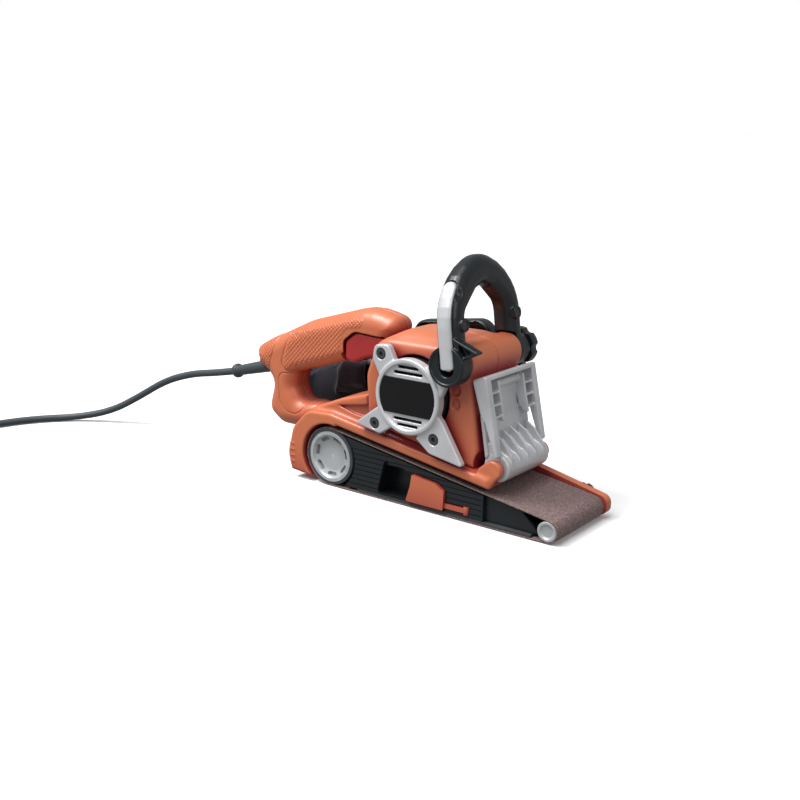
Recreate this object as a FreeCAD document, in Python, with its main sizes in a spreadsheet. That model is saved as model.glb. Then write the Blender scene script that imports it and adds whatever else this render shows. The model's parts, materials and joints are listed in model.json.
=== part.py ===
import FreeCAD, Part
import math
import os
import re

V = FreeCAD.Vector
doc = FreeCAD.newDocument("belt_sander")

# ---------------------------------------------------------------- driving sizes (mm)
# Frame: +X towards the nose, +Y to the left of the machine, +Z up.
# Origin: centre of the flat sanding face, midway between the two axles.
SIZES = {
    "belt_half": 37.5,        # half of the 75 mm belt width
    "belt_gauge": 1.0,        # cloth and grit
    "wheelbase": 212.0,       # axle to axle; the loop then fits a 75 x 533 belt
    "wheel_r": 24.8,          # drive wheel over its rubber tyre
    "tyre_gauge": 2.6,
    "roller_r": 8.1,
    "loop_gap": 0.2,          # air between the belt and what it runs on
    "axle_r": 3.0,
    "shaft_r": 6.0,           # drive wheel shaft
    "run_fit": 0.05,          # radial running clearance
    "motor_x": -17.8,
    "motor_z": 94.8,
    "stator_r": 27.0,
    "rotor_r": 16.0,
    "rotor_shaft_r": 4.0,
    "motor_pulley_r": 5.0,
    "wheel_pulley_r": 20.0,   # four times the motor pulley
    "timing_gauge": 1.5,
    "pulley_low": 44.5,       # the toothed belt's plane, in y
    "pulley_high": 52.5,
    "body_half": 36.0,        # half width of the motor housing
    "wall": 3.0,
    "skirt_y": 40.0,          # outer face of the base, both sides
    "rail_y": 46.0,           # outer face of the orange rail on the left
    "cover_y": 58.0,          # outer face of the drive cover
    "cap_back": 39.0,
    "cap_front": 48.0,
    "cap_r": 31.0,
    "label_half": 14.5,       # half height of the label band across the cap's dish
    "pivot_x": 21.5,          # front handle pivot
    "pivot_z": 125.5,
    "pivot_tube_r": 15.0,
    "bolt_r": 4.0,
    "handle_outer": 50.0,     # half width of the arch
    "handle_bar": 19.5,
    "handle_rise": 78.5,
    "handle_lean": 7.0,       # degrees back from upright
    "hub_r": 16.0,
    "hub_inner": 37.6,        # inner faces of the hubs, outside the belt guard's width
    "hinge_x": 57.0,          # belt guard hinge
    "hinge_z": 47.0,
    "barrel_r": 11.0,
    "pin_r": 2.5,
    "guard_half": 37.0,
    "grip_half": 17.0,        # half width of the rear handle
    "trigger_half": 15.5,
    "cord_d": 7.0,
    "coil_r": 38.0,           # to the middle of the coil's turns
    "coil_x": -452.0,         # where the spare cord lies wound
    "coil_y": -220.0,
    "sleeve_x": -257.0,       # far end of the cord's sleeve
    "sleeve_z": 73.5,
    "sleeve_tilt": 75.5,      # degrees from upright
    "screw_r": 3.1,           # pan head of the housing screws
    "screw_head": 1.0,
    "duct_y": 51.0,           # dust duct and bag
    "duct_z": 84.0,
    "duct_r": 16.0,
    "spring_low": -6.0,       # the belt tension spring's pocket, in x
    "spring_high": 16.0,
    "spring_wire": 1.2,
    "lever_x": 34.0,          # tension lever pivot
    "lever_y": -35.9,
    "plate_front": -37.0,     # outer face of the ribbed side plate
    "plate_back": -33.8,
    "knob_x": 91.0,           # tracking knob
    "knob_z": 12.5,
    "knob_r": 9.0,
    "knob_screw_r": 2.5,
}

sheet = doc.addObject("Spreadsheet::Sheet", "Sizes")
for row, (alias, number) in enumerate(SIZES.items(), start=1):
    sheet.set("A%d" % row, alias)
    sheet.set("B%d" % row, str(number))
    sheet.setAlias("B%d" % row, alias)
doc.recompute()


def size(alias):
    return float(sheet.get(alias))


wheel_x = -size("wheelbase") / 2
roller_x = size("wheelbase") / 2
wheel_z = size("belt_gauge") + size("loop_gap") + size("wheel_r")
roller_z = size("belt_gauge") + size("loop_gap") + size("roller_r")
motor_x = size("motor_x")
motor_z = size("motor_z")
WHEEL_X = "-wheelbase / 2"
WHEEL_Z = "belt_gauge + loop_gap + wheel_r"
ROLLER_X = "wheelbase / 2"
ROLLER_Z = "belt_gauge + loop_gap + roller_r"

WHEEL_SLOTS = 7
WHEEL_SLOT_REACH = 15.9
KNOB_LOBES = 6
PULLEY_TEETH = 12
WHEEL_PULLEY_TEETH = 4 * PULLEY_TEETH
VENTS = [(18.9, 14.0), (23.6, 10.0)]      # distance from the motor's axis, half length
GUARD_WINDOWS = [(107.5, 5), (98.5, 6), (89.5, 4)]      # lower edge and height of each
FAN_BLADES = 9
SPRING_PITCH = 3.3
SPRING_RADIUS = 4.2
CAP_SCREWS = [(-51.4, 67.5), (7.2, 64.1), (-45.2, 126.1)]
HOUSING_SCREWS = [
    ("cover_y", -120, 50), ("cover_y", -60, 134), ("cover_y", 1, 76),
    ("grip_half", -203, 104), ("grip_half", -160, 48), ("grip_half", -194, 48),
]

nodes = {}


# ---------------------------------------------------------------- helpers
def bind(thing, prop, text):
    """Set a property to a number, or bind it to an expression of sheet aliases."""
    if isinstance(text, (int, float)):
        text = str(text)
    thing.setExpression(prop, re.sub(r"[a-z][a-z_]+", r"Sizes.\g<0>", text.lower()))


def keep(name, thing):
    """Register a finished sub-part; its label names its file."""
    thing.Label = name
    nodes[name] = thing
    return thing


def place(thing, x, y, z):
    bind(thing, "Placement.Base.x", x)
    bind(thing, "Placement.Base.y", y)
    bind(thing, "Placement.Base.z", z)


TURN_TO_Y = FreeCAD.Rotation(V(1, 0, 0), -90)
TURN_TO_X = FreeCAD.Rotation(V(0, 1, 0), 90)


def cyl(x, y, z, radius, length, turn=None):
    thing = doc.addObject("Part::Cylinder", "Cylinder")
    bind(thing, "Radius", radius)
    bind(thing, "Height", length)
    if turn is not None:
        thing.Placement = FreeCAD.Placement(V(0, 0, 0), turn)
    place(thing, x, y, z)
    return thing


def cyl_y(x, z, low, high, radius):
    """Cylinder along Y between two y values."""
    return cyl(x, low, z, radius, "(%s) - (%s)" % (high, low), TURN_TO_Y)


def ring_y(count, x, z, reach, low, high, radius, start=0.0):
    """Cylinders along Y, evenly spaced on a circle about (x, z)."""
    ring = []
    for i in range(count):
        angle = math.radians(start + 360 * i / count)
        ring.append(cyl_y(x + reach * math.cos(angle), z + reach * math.sin(angle), low, high, radius))
    return ring


def cyl_x(y, z, low, high, radius):
    return cyl(low, y, z, radius, "(%s) - (%s)" % (high, low), TURN_TO_X)


def box(x_low, x_high, y_low, y_high, z_low, z_high):
    thing = doc.addObject("Part::Box", "Box")
    bind(thing, "Length", "(%s) - (%s)" % (x_high, x_low))
    bind(thing, "Width", "(%s) - (%s)" % (y_high, y_low))
    bind(thing, "Height", "(%s) - (%s)" % (z_high, z_low))
    place(thing, x_low, y_low, z_low)
    return thing


def fuse(*things):
    if len(things) == 1:
        return things[0]
    both = doc.addObject("Part::MultiFuse", "Fusion")
    both.Shapes = list(things)
    return both


def cut(base, *tools):
    rest = doc.addObject("Part::Cut", "Cut")
    rest.Base = base
    rest.Tool = fuse(*tools)
    return rest


def common(first, second):
    overlap = doc.addObject("Part::Common", "Common")
    overlap.Base = first
    overlap.Tool = second
    return overlap


def group(things):
    """Several separate solids in one node."""
    bunch = doc.addObject("Part::Compound", "Group")
    bunch.Links = list(things)
    return bunch


def rounded(points):
    """Closed outline of (a, b) or (a, b, radius) corners, as lines and tangent arcs."""
    corners = [(V(p[0], p[1], 0), p[2] if len(p) > 2 else 0.0) for p in points]
    starts, ends, arcs = [], [], []
    count = len(corners)
    for i, (corner, radius) in enumerate(corners):
        to_last = (corners[i - 1][0] - corner).normalize()
        to_next = (corners[(i + 1) % count][0] - corner).normalize()
        if radius == 0:
            starts.append(corner)
            ends.append(corner)
            arcs.append(None)
            continue
        half = to_last.getAngle(to_next) / 2
        reach = radius / math.tan(half)
        middle_way = (to_last + to_next).normalize()
        middle = corner + middle_way * (radius / math.sin(half) - radius)
        starts.append(corner + to_last * reach)
        ends.append(corner + to_next * reach)
        arcs.append(Part.Arc(starts[-1], middle, ends[-1]))
    edges = []
    for i in range(count):
        if arcs[i]:
            edges.append(arcs[i])
        follower = starts[(i + 1) % count]
        if (follower - ends[i]).Length > 1e-6:
            edges.append(Part.LineSegment(ends[i], follower))
    return edges


def belt_loop(a, radius_a, b, radius_b):
    """Outline of a belt around two circles: two tangents and two arcs."""
    along = math.atan2(b[1] - a[1], b[0] - a[0])
    apart = math.hypot(b[0] - a[0], b[1] - a[1])
    lean = math.acos((radius_a - radius_b) / apart)

    def on_circle(centre, radius, angle):
        return V(centre[0] + radius * math.cos(angle), centre[1] + radius * math.sin(angle), 0)

    top_a = on_circle(a, radius_a, along + lean)
    back_a = on_circle(a, radius_a, along + math.pi)
    low_a = on_circle(a, radius_a, along - lean)
    low_b = on_circle(b, radius_b, along - lean)
    front_b = on_circle(b, radius_b, along)
    top_b = on_circle(b, radius_b, along + lean)
    return [Part.Arc(top_a, back_a, low_a), Part.LineSegment(low_a, low_b),
            Part.Arc(low_b, front_b, top_b), Part.LineSegment(top_b, top_a)]


def pad(role, name, offset, low, high, outlines):
    """PartDesign pad of outlines in one of the origin planes."""
    body = doc.addObject("PartDesign::Body", name)
    plane = [f for f in body.Origin.OriginFeatures if f.Role == role][0]
    sketch = body.newObject("Sketcher::SketchObject", name + "_outline")
    sketch.AttachmentSupport = (plane, [""])
    sketch.MapMode = "FlatFace"
    bind(sketch, "AttachmentOffset.Base.z", offset)
    for outline in outlines:
        sketch.addGeometry(outline, False)
    doc.recompute()
    solid = body.newObject("PartDesign::Pad", name + "_pad")
    solid.Profile = sketch
    bind(solid, "Length", "(%s) - (%s)" % (high, low))
    return body


def side_pad(name, low, high, *outlines):
    """Pad of outlines in the XZ plane, between two y values."""
    return pad("XZ_Plane", name, "-(%s)" % high, low, high, outlines)


def front_pad(name, low, high, *outlines):
    """Pad of outlines in the YZ plane, between two x values."""
    return pad("YZ_Plane", name, low, low, high, outlines)


def turned_y(name, x, z, profile):
    """Solid of revolution about a line along Y; profile is (radius, y) corners."""
    body = doc.addObject("PartDesign::Body", name)
    plane = [f for f in body.Origin.OriginFeatures if f.Role == "XY_Plane"][0]
    axis = [f for f in body.Origin.OriginFeatures if f.Role == "Y_Axis"][0]
    sketch = body.newObject("Sketcher::SketchObject", name + "_half")
    sketch.AttachmentSupport = (plane, [""])
    sketch.MapMode = "FlatFace"
    sketch.addGeometry(rounded(profile), False)
    doc.recompute()
    turn = body.newObject("PartDesign::Revolution", name + "_turn")
    turn.Profile = sketch
    turn.ReferenceAxis = (axis, [""])
    turn.Angle = 360
    place(body, x, 0, z)
    return body


def belt_top(x, lift=0.0):
    """Height of the belt's upper run over the origin's plane, plus a lift."""
    radius_a = wheel_z
    radius_b = roller_z
    along = math.atan2(roller_z - wheel_z, roller_x - wheel_x)
    lean = math.acos((radius_a - radius_b) / math.hypot(roller_x - wheel_x, roller_z - wheel_z))
    start_x = wheel_x + radius_a * math.cos(along + lean)
    start_z = wheel_z + radius_a * math.sin(along + lean)
    return start_z - (x - start_x) / math.tan(along + lean) + lift


# ---------------------------------------------------------------- belt, wheels and axles
def make_belt():
    wheel = (wheel_x, wheel_z)
    roller = (roller_x, roller_z)
    gauge = size("belt_gauge")
    keep("sanding_belt", side_pad("sanding_belt", "-belt_half", "belt_half",
                                  belt_loop(wheel, wheel_z, roller, roller_z),
                                  belt_loop(wheel, wheel_z - gauge, roller, roller_z - gauge)))


def make_drive_wheel():
    rim = size("wheel_r") - size("tyre_gauge")
    bore = size("shaft_r")
    half = size("belt_half")
    dish = [(0, -33.2), (13.5, -33.6, 6), (18.6, -36.2, 3), (19.4, -half), (rim, -half),
            (rim, half), (rim - 2.7, half), (rim - 2.7, 18), (bore, 18), (bore, -29.5), (0, -29.5)]
    wheel = turned_y("wheel_blank", WHEEL_X, WHEEL_Z, dish)
    slots = []
    for i in range(WHEEL_SLOTS):
        angle = 2 * math.pi * i / WHEEL_SLOTS + 0.25
        x = wheel_x + WHEEL_SLOT_REACH * math.cos(angle)
        z = wheel_z + WHEEL_SLOT_REACH * math.sin(angle)
        slot = side_pad("wheel_slot", -40, -31.8,
                        rounded([(-5, -1.6, 1.5), (5, -1.6, 1.5), (5, 1.6, 1.5), (-5, 1.6, 1.5)]))
        turn = FreeCAD.Rotation(V(0, -1, 0), math.degrees(angle) + 90)
        slot.Placement = FreeCAD.Placement(V(x, 0, z), turn)
        slots.append(slot)
    keep("drive_wheel", cut(wheel, *slots))
    keep("wheel_tyre", cut(cyl_y(WHEEL_X, WHEEL_Z, "-belt_half + 0.4", "belt_half - 0.4", "wheel_r"),
                           cyl_y(WHEEL_X, WHEEL_Z, -40, 40, "wheel_r - tyre_gauge")))
    keep("wheel_shaft", cyl_y(WHEEL_X, WHEEL_Z, -29.4, 54, "shaft_r"))
    bearings = []
    for low in (21, 33):
        race = cut(cyl_y(WHEEL_X, WHEEL_Z, low, low + 8, 14),
                   cyl_y(WHEEL_X, WHEEL_Z, low - 1, low + 9, "shaft_r + run_fit"))
        bearings.append(race)
    keep("wheel_bearings", group(bearings))


def make_roller():
    radius = size("roller_r")
    bore = size("axle_r") + size("run_fit")
    half = size("belt_half")
    profile = [(0, -half + 1.4), (4.6, -half + 1.4, 1.5), (6.2, -half), (radius, -half, 0.8), (radius, 32.4),
               (bore, 32.4), (bore, -33), (0, -33)]
    keep("front_roller", turned_y("front_roller", ROLLER_X, ROLLER_Z, profile))
    keep("roller_axle", cyl_y(ROLLER_X, ROLLER_Z, -32.5, 37, "axle_r"))


# ---------------------------------------------------------------- belt frame
def frame_outline(left, right, drop, floor):
    """Side outline of what lies inside the belt loop."""
    return [(left, floor), (right, floor), (right, belt_top(right, -drop)), (left, belt_top(left, -drop))]


def make_chassis():
    block = side_pad("chassis_block", "plate_back + 0.1", "belt_half - 0.3",
                     rounded(frame_outline(-88, 41, 3.2, 3.4)))
    wheel_room = cyl_y(WHEEL_X, WHEEL_Z, -45, 45, "wheel_r + 2.2")
    yoke_room = box(33, 50, -34, -29, 0, 40)
    stem_room = box("spring_low", 50, -13, 13, 7, 19)
    finger_room = box(-56, -18, -35, -20, 4.5, 30)
    lever_room = cyl("lever_x", "lever_y", 4, 3.2, 11)
    lightening = box(-50, -12, -15, 30, 8, 30)
    keep("chassis", cut(block, wheel_room, yoke_room, stem_room, finger_room, lever_room, lightening))
    keep("platen", box(-76, 92, "-belt_half + 0.5", "belt_half - 0.5", 2.0, 3.3))
    keep("platen_pad", box(-76, 92, "-belt_half + 0.5", "belt_half - 0.5", 1.2, 2.0))


def make_side_plate():
    """Black plate over the belt frame, with ribs, a finger pocket and the lever's window."""
    plate = side_pad("plate_blank", "plate_front", "plate_back",
                     rounded(frame_outline(-88, 49.5, 2.6, 3.4)))
    wheel_room = cyl_y(WHEEL_X, WHEEL_Z, -45, 45, "wheel_r + 2.6")
    pocket = side_pad("plate_pocket", -40, -30,
                      rounded([(-55, 4.4, 3), (-24, 4.4), (-24, 31, 4), (-47, 35, 4)]))
    window = side_pad("plate_window", -40, -30,
                      rounded([(-26, 4.2, 1), (14.4, 4.2, 1), (15.4, 22, 3), (6.5, 27.2, 1),
                               (-19, 30, 1), (-26, 30)]))
    tail_slot = box(13, "lever_x", -40, -30, 6, 12)
    boss_room = cyl("lever_x", "lever_y", 5, 3.2, 8)
    pin_hole = cyl("lever_x", "lever_y", 3.6, 1.2, 12.4)
    grooves = []
    for i in range(8):
        low = 7.2 + 4.4 * i
        grooves.append(box(-90, 48, -38, -36.2, low, low + 0.9))
    keep("side_plate", cut(plate, wheel_room, pocket, window, tail_slot, boss_room, pin_hole, *grooves))
    keep("lever_pin", cyl("lever_x", "lever_y", 3.6, 1.2, 12.4))


def make_tension_lever():
    paddle = side_pad("lever_paddle", -39.4, -34.6,
                      rounded([(-23.4, 5.2, 1), (13.4, 5.2, 1), (14.2, 21, 3), (5.7, 26, 1.5),
                               (-17.4, 28.8, 1), (-19.2, 18)]))
    tail = box(10, "lever_x", -37.9, -34.2, 7, 11)
    boss = cyl("lever_x", "lever_y", 5.6, 2.5, 6.8)
    hole = cyl("lever_x", "lever_y", 0, "1.2 + run_fit", 30)
    keep("tension_lever", cut(fuse(paddle, tail, boss), hole))


def make_yoke():
    arm_end = cyl_y(ROLLER_X, ROLLER_Z, 33.2, 37, 6.8)
    far_arm = side_pad("yoke_far_arm", 33.2, 37,
                       [*rounded([(60, 4), (101, 4), (101, 14.5), (60, belt_top(60, -4))])])
    web = side_pad("yoke_web", -33, 37, rounded(frame_outline(50.5, 62, 4, 4)))
    stem = box("spring_high", 52, -12.5, 12.5, 7.5, 18.5)
    panel = side_pad("yoke_panel", -33.2, -30,
                     rounded([(43, 4), (96.2, 4, 1), (93, 9, 2), (83.5, 17.6, 3), (81, belt_top(81, -3.4)),
                              (43, belt_top(43, -3.4))]))
    hole = cyl_y(ROLLER_X, ROLLER_Z, 30, 40, "axle_r")
    keep("yoke", cut(fuse(arm_end, far_arm, web, stem, panel), hole))
    spring = doc.addObject("Part::Feature", "tension_spring")
    wire_r = size("spring_wire") / 2
    inset = wire_r + size("run_fit")
    helix = Part.makeHelix(SPRING_PITCH, size("spring_high") - size("spring_low") - 2 * inset, SPRING_RADIUS)
    wire_start = Part.Wire(Part.makeCircle(wire_r, V(SPRING_RADIUS, 0, 0), V(0, 1, 0)))
    spring.Shape = Part.Wire(helix).makePipeShell([wire_start], True, True)
    spring.Placement = FreeCAD.Placement(V(size("spring_low") + inset, 0, 13), TURN_TO_X)
    keep("tension_spring", spring)


# ---------------------------------------------------------------- base and rail
def make_base():
    """Orange base: skirt over the belt, wheel arch, left side wall and guard lugs."""
    arch_floor = 4.6
    arch_back = [(-149.5, 6.6, 2), (-153.4, 22, 14), (-147.5, 46, 16), (-130, 64, 16)]
    skirt = side_pad("base_skirt", "-skirt_y", "skirt_y + 2.4", rounded(arch_back + [
        (-104, 65.2, 18), (-84, belt_top(-84, 13), 8), (55.4, belt_top(55.4, 13), 2),
        (55.4, belt_top(55.4, 4.6), 1), (-98, belt_top(-98, 4.6), 1),
        (-100, 40), (-124, 20), (-124.5, arch_floor)]))
    wheel_room = cyl_y(WHEEL_X, WHEEL_Z, -45, "skirt_y - 1.2", "wheel_r + 4.6")
    inner_room = box(-152, 60, "-belt_half", "skirt_y - 1.2", -5, arch_floor - 0.2)
    wall = side_pad("base_left_wall", "skirt_y - 1.4", "skirt_y + 2.4",
                    rounded(arch_back + [(30, 36), (30, 2.4), (-140, 2.4, 8)]))
    bearing_seat = cyl_y(WHEEL_X, WHEEL_Z, 20, "skirt_y + 1", 17)
    bearing_bore = cyl_y(WHEEL_X, WHEEL_Z, 21, 50, 14)
    shaft_bore = cyl_y(WHEEL_X, WHEEL_Z, 10, 30, 9)
    deck = side_pad("base_deck", -33, 33, rounded([
        (-140, 50), (-128, 66, 20), (-96, 79, 30), (-68, 87), (-67, 64), (46, 42), (46, belt_top(46, 4.6)),
        (-96, belt_top(-96, 4.6))]))
    lug_outline = [(44, 38), (56, 34, 1), (64, 44), (52, 53), (44, 46)]
    lugs = []
    for low in (-38, 32):
        lugs.append(cyl_y("hinge_x", "hinge_z", low, low + 6, 7.5))
        lugs.append(side_pad("hinge_lug", low, low + 6, rounded(lug_outline)))
    guard_room = cyl_y("hinge_x", "hinge_z", -31.5, 31.5, "barrel_r + 2")
    pin_hole = cyl_y("hinge_x", "hinge_z", -36.8, 50, "pin_r")
    whole = fuse(cut(fuse(skirt, deck), wheel_room, inner_room), wall, bearing_seat, *lugs)
    keep("base_frame", cut(whole, bearing_bore, shaft_bore, guard_room, pin_hole))
    keep("guard_pin", cyl_y("hinge_x", "hinge_z", -36.5, 38, "pin_r"))


def make_rail():
    """Orange rail along the left side of the belt, with its rounded nose."""
    rail = side_pad("rail_blank", "belt_half + 1", "rail_y", rounded([
        (31, 2.4, 2), (117, 2.4, 7), (117, 17.5, 7), (56, belt_top(56, 4.6), 4), (31, belt_top(31, 4.6))]))
    screw_room = cyl_y("knob_x", "knob_z", 30, 50, "knob_screw_r + run_fit")
    keep("side_rail", cut(rail, screw_room))
    grip = cyl_y("knob_x", "knob_z", "rail_y + 0.4", "rail_y + 7.4", "knob_r")
    dents = ring_y(KNOB_LOBES, size("knob_x"), size("knob_z"), size("knob_r") + 1.4, 44, 60, 2.6, 30)
    screw = cyl_y("knob_x", "knob_z", "belt_half + 1", "rail_y + 1", "knob_screw_r")
    keep("tracking_knob", fuse(cut(grip, *dents), screw))


# ---------------------------------------------------------------- motor housing
def body_side(shrink):
    """The motor housing's outline from the side, drawn in by a wall."""
    s = shrink
    return rounded([(-67 + s, 66 + s, 3), (-69.5 + s, 104, 22), (-58 + s, 133 - s, 16), (-38, 144 - s, 22),
                    (12, 144.5 - s, 18), (32 - s, 136 - s, 10), (34 - s, 118), (41.5 - s, 60),
                    (41.5 - s, 42 + s), (-60, 61 + s)])


def body_front(shrink):
    """The motor housing's outline from the front, drawn in by a wall."""
    half = size("body_half") - shrink
    crest = 146 - shrink
    return rounded([(-half, 30), (half, 30), (half, 132, 10), (16, crest, 26), (-16, crest, 26),
                    (-half, 132, 10)])


def make_housing():
    """Motor housing in two halves that meet on the machine's middle plane."""
    outer = common(side_pad("body_side_outer", "-body_half", "body_half", body_side(0.0)),
                   front_pad("body_front_outer", -75, 45, body_front(0.0)))
    wall = size("wall")
    inner = common(side_pad("body_side_inner", "-body_half + wall", "body_half - wall", body_side(wall)),
                   front_pad("body_front_inner", -75, 45, body_front(wall)))
    pivot_tube = cyl_y("pivot_x", "pivot_z", "-body_half", "body_half", "pivot_tube_r")
    shell = fuse(cut(outer, inner), pivot_tube)
    floor = side_pad("body_floor_cut", -50, 50, rounded([
        (-70, 62), (-67.9, 87.4), (-67, 87), (-66.5, 64.6), (46.5, 42.6), (80, 42), (80, 0), (-70, 0)]))
    cap_room = cyl_y("motor_x", "motor_z", -50, -20, "cap_r + 1")
    far_room = cyl_y("motor_x", "motor_z", 20, 50, 12)
    bolt_room = cyl_y("pivot_x", "pivot_z", -60, 60, "bolt_r + run_fit")
    guard_room = cyl_y("hinge_x", "hinge_z", -40, 40, "barrel_r + 8")
    duct_room = cyl_x("duct_y - 14", "duct_z + 16", -80, -60, 9)
    screw_holes = [cyl_y(x, z, -50, -30, 2.1) for x, z in CAP_SCREWS]
    whole = cut(shell, floor, cap_room, far_room, bolt_room, guard_room, nodes["base_frame"], *screw_holes)
    right_half = box(-80, 60, -60, 0, 30, 160)
    left_half = box(-80, 60, 0, 60, 30, 160)
    keep("housing_right", common(whole, right_half))
    keep("housing_left", common(cut(whole, duct_room), left_half))


def make_cap():
    """Silver motor end cap: ring with louvres and four screwed arms."""
    wall = cut(cyl_y("motor_x", "motor_z", "-cap_front", "-cap_back", "cap_r"),
               cyl_y("motor_x", "motor_z", "-cap_front - 1", "-cap_front + 2", "cap_r - 4"),
               cyl_y("motor_x", "motor_z", "-cap_front + 4.5", "-cap_back + 1", "cap_r - 3"))
    louvres = []
    for reach, half in VENTS:
        for z in (motor_z - reach, motor_z + reach):
            louvres.append(box(motor_x - half, motor_x + half, -60, -42, z - 0.9, z + 0.9))
    arm_low_left = side_pad("arm_low_left", -45.5, -39, rounded([
        (-72.3, 64.2, 1.5), (-46, 59.3, 4), (-34, 67), (-40, 88), (-56, 76.5, 6)]))
    arm_low_right = side_pad("arm_low_right", -45.5, -39, rounded([
        (-10, 62), (3, 51.8, 4), (35.2, 46.2, 1.5), (14.5, 80, 8), (6, 88)]))
    arm_top_left = side_pad("arm_top_left", -45.5, -39, rounded([
        (-44, 103), (-54, 121, 6), (-52, 133, 5), (-38, 134.5, 5), (-30, 119)]))
    arm_top_right = side_pad("arm_top_right", -45.5, -39, rounded([
        (-4, 118), (8, 131, 3), (24, 124, 3), (14, 100), (8, 96)]))
    bore = cyl_y("motor_x", "motor_z", -60, "-cap_back + 1", "cap_r - 3")
    hub_room = cyl_y("pivot_x", "pivot_z", -60, -30, "hub_r + 0.6")
    arms = cut(fuse(arm_low_left, arm_low_right, arm_top_left, arm_top_right), bore, hub_room)
    holes = [cyl_y(x, z, -60, -30, 2.1) for x, z in CAP_SCREWS]
    sinks = [cyl_y(x, z, -60, -42.5, 4.6) for x, z in CAP_SCREWS]
    keep("motor_cap", cut(fuse(wall, arms), *louvres, *holes, *sinks))
    band = box("motor_x - cap_r", "motor_x + cap_r", -60, -30, "motor_z - label_half", "motor_z + label_half")
    keep("cap_label", common(cyl_y("motor_x", "motor_z", "-cap_front + 0.8", "-cap_front + 1.9",
                                   "cap_r - 4.2"), band))
    screws = []
    for x, z in CAP_SCREWS:
        head = cut(cyl_y(x, z, -45.2, -42.5, 4.0), cyl_y(x, z, -46, -43.6, 1.9))
        screws.append(fuse(head, cyl_y(x, z, -42.6, -33.4, 2.1)))
    keep("cap_screws", group(screws))


# ---------------------------------------------------------------- motor
def make_motor():
    def disc(low, high, radius):
        return cyl_y("motor_x", "motor_z", low, high, radius)

    keep("stator_core", cut(disc(-13, 14, "stator_r"), disc(-20, 20, "rotor_r + 0.8"),
                            box(-60, -40, -20, 20, 80, 110), box(4, 20, -20, 20, 80, 110)))
    coils = []
    for low, high in ((-19, -13), (14, 20)):
        coils.append(cut(disc(low, high, 25), disc(low - 1, high + 1, "rotor_r + 1.5")))
    keep("field_windings", group(coils))
    keep("armature_core", cut(disc(-12, 13, "rotor_r"), disc(-20, 20, "rotor_shaft_r")))
    keep("armature_shaft", disc(-37.5, 53.5, "rotor_shaft_r"))
    keep("commutator", cut(disc(-29, -19.5, 10.5), disc(-40, 0, "rotor_shaft_r")))
    blades = []
    for i in range(FAN_BLADES):
        blade = side_pad("fan_blade", 23, 29, rounded([(4.8, -0.7), (22, -0.7), (22, 0.7), (4.8, 0.7)]))
        blade.Placement = FreeCAD.Placement(V(motor_x, 0, motor_z),
                                            FreeCAD.Rotation(V(0, -1, 0), 360 * i / FAN_BLADES))
        blades.append(blade)
    hub = fuse(disc(21.5, 23.2, 22), disc(21.5, 29, 8), *blades)
    keep("cooling_fan", cut(hub, disc(10, 40, "rotor_shaft_r")))
    toothed = ring_y(PULLEY_TEETH, motor_x, motor_z, size("motor_pulley_r") + 0.3, 44, 53, 0.5)
    pulley = cut(disc("pulley_low", "pulley_high", "motor_pulley_r"), disc(40, 60, "rotor_shaft_r"), *toothed)
    keep("motor_pulley", pulley)
    teeth = ring_y(WHEEL_PULLEY_TEETH, wheel_x, wheel_z, size("wheel_pulley_r") + 0.3, 44, 53, 0.5)
    wheel = cut(cyl_y(WHEEL_X, WHEEL_Z, "pulley_low", "pulley_high", "wheel_pulley_r"),
                cyl_y(WHEEL_X, WHEEL_Z, 40, 60, "shaft_r"), *teeth)
    keep("driven_pulley", wheel)
    gap = size("loop_gap")
    gauge = size("timing_gauge")
    big = size("wheel_pulley_r") + gap
    small = size("motor_pulley_r") + gap
    loop = [belt_loop((wheel_x, wheel_z), big + extra, (motor_x, motor_z), small + extra)
            for extra in (gauge, 0.0)]
    keep("timing_belt", side_pad("timing_belt", "pulley_low + 0.3", "pulley_high - 0.3", *loop))
    races = []
    for low, high in ((-37.5, -31), (33.4, 40)):
        races.append(cut(disc(low, high, 9.5), disc(low - 1, high + 1, "rotor_shaft_r + run_fit")))
    keep("motor_bearings", group(races))
    spider = fuse(cut(disc(-39, -30.5, 12), disc(-37.5, -20, 9.5)),
                  cut(disc(-38.8, -36, 30), disc(-50, -20, 11)),
                  cut(disc(-36.5, -14, 30), disc(-50, 0, 27.6)))
    windows = [box(-45, 10, -29, -20, 86, 104)]
    keep("end_bracket", cut(spider, *windows, disc(-60, -20, "rotor_shaft_r + 1")))
    keep("far_bracket", cut(disc(32.8, 41, 11.8), disc(33.4, 45, 9.5), disc(20, 50, "rotor_shaft_r + 1")))
    holders = []
    brushes = []
    for side in (-1, 1):
        holders.append(cut(brush_box(side, 11.2, 27, -28, -20.5, 4.5), brush_box(side, 10, 28, -27, -21.5, 3)))
        brushes.append(brush_box(side, 10.6, 24, -27, -21.5, 3))
    keep("brush_holders", group(holders))
    keep("carbon_brushes", group(brushes))


def brush_box(side, near, far, y_low, y_high, half_high):
    """Block beside the commutator, from near to far of the motor's axis on one side."""
    low, high = sorted((side * near, side * far))
    return box("motor_x + %g" % low, "motor_x + %g" % high, y_low, y_high,
               "motor_z - %g" % half_high, "motor_z + %g" % half_high)


# ---------------------------------------------------------------- drive cover
def make_drive_cover():
    def outline(s):
        return rounded([(-130.6 + s, 1.6 + s, 23.5 - s), (-131 + s, 56, 20), (-73 + s, 138 - s, 12 - s),
                        (-2 - s, 146.5 - s, 14 - s), (3.4 - s, 122, 16), (10 - s, 62, 16),
                        (-80, 1.6 + s, 20)])

    outer = side_pad("drive_cover_outer", "skirt_y + 2.6", "cover_y", outline(0.0))
    inner = side_pad("drive_cover_inner", "skirt_y", "cover_y - 2.4", outline(2.4))
    duct_hole = cyl_x("duct_y", "duct_z", -150, -92, "duct_r")
    keep("drive_cover", cut(outer, inner, duct_hole))


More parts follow.
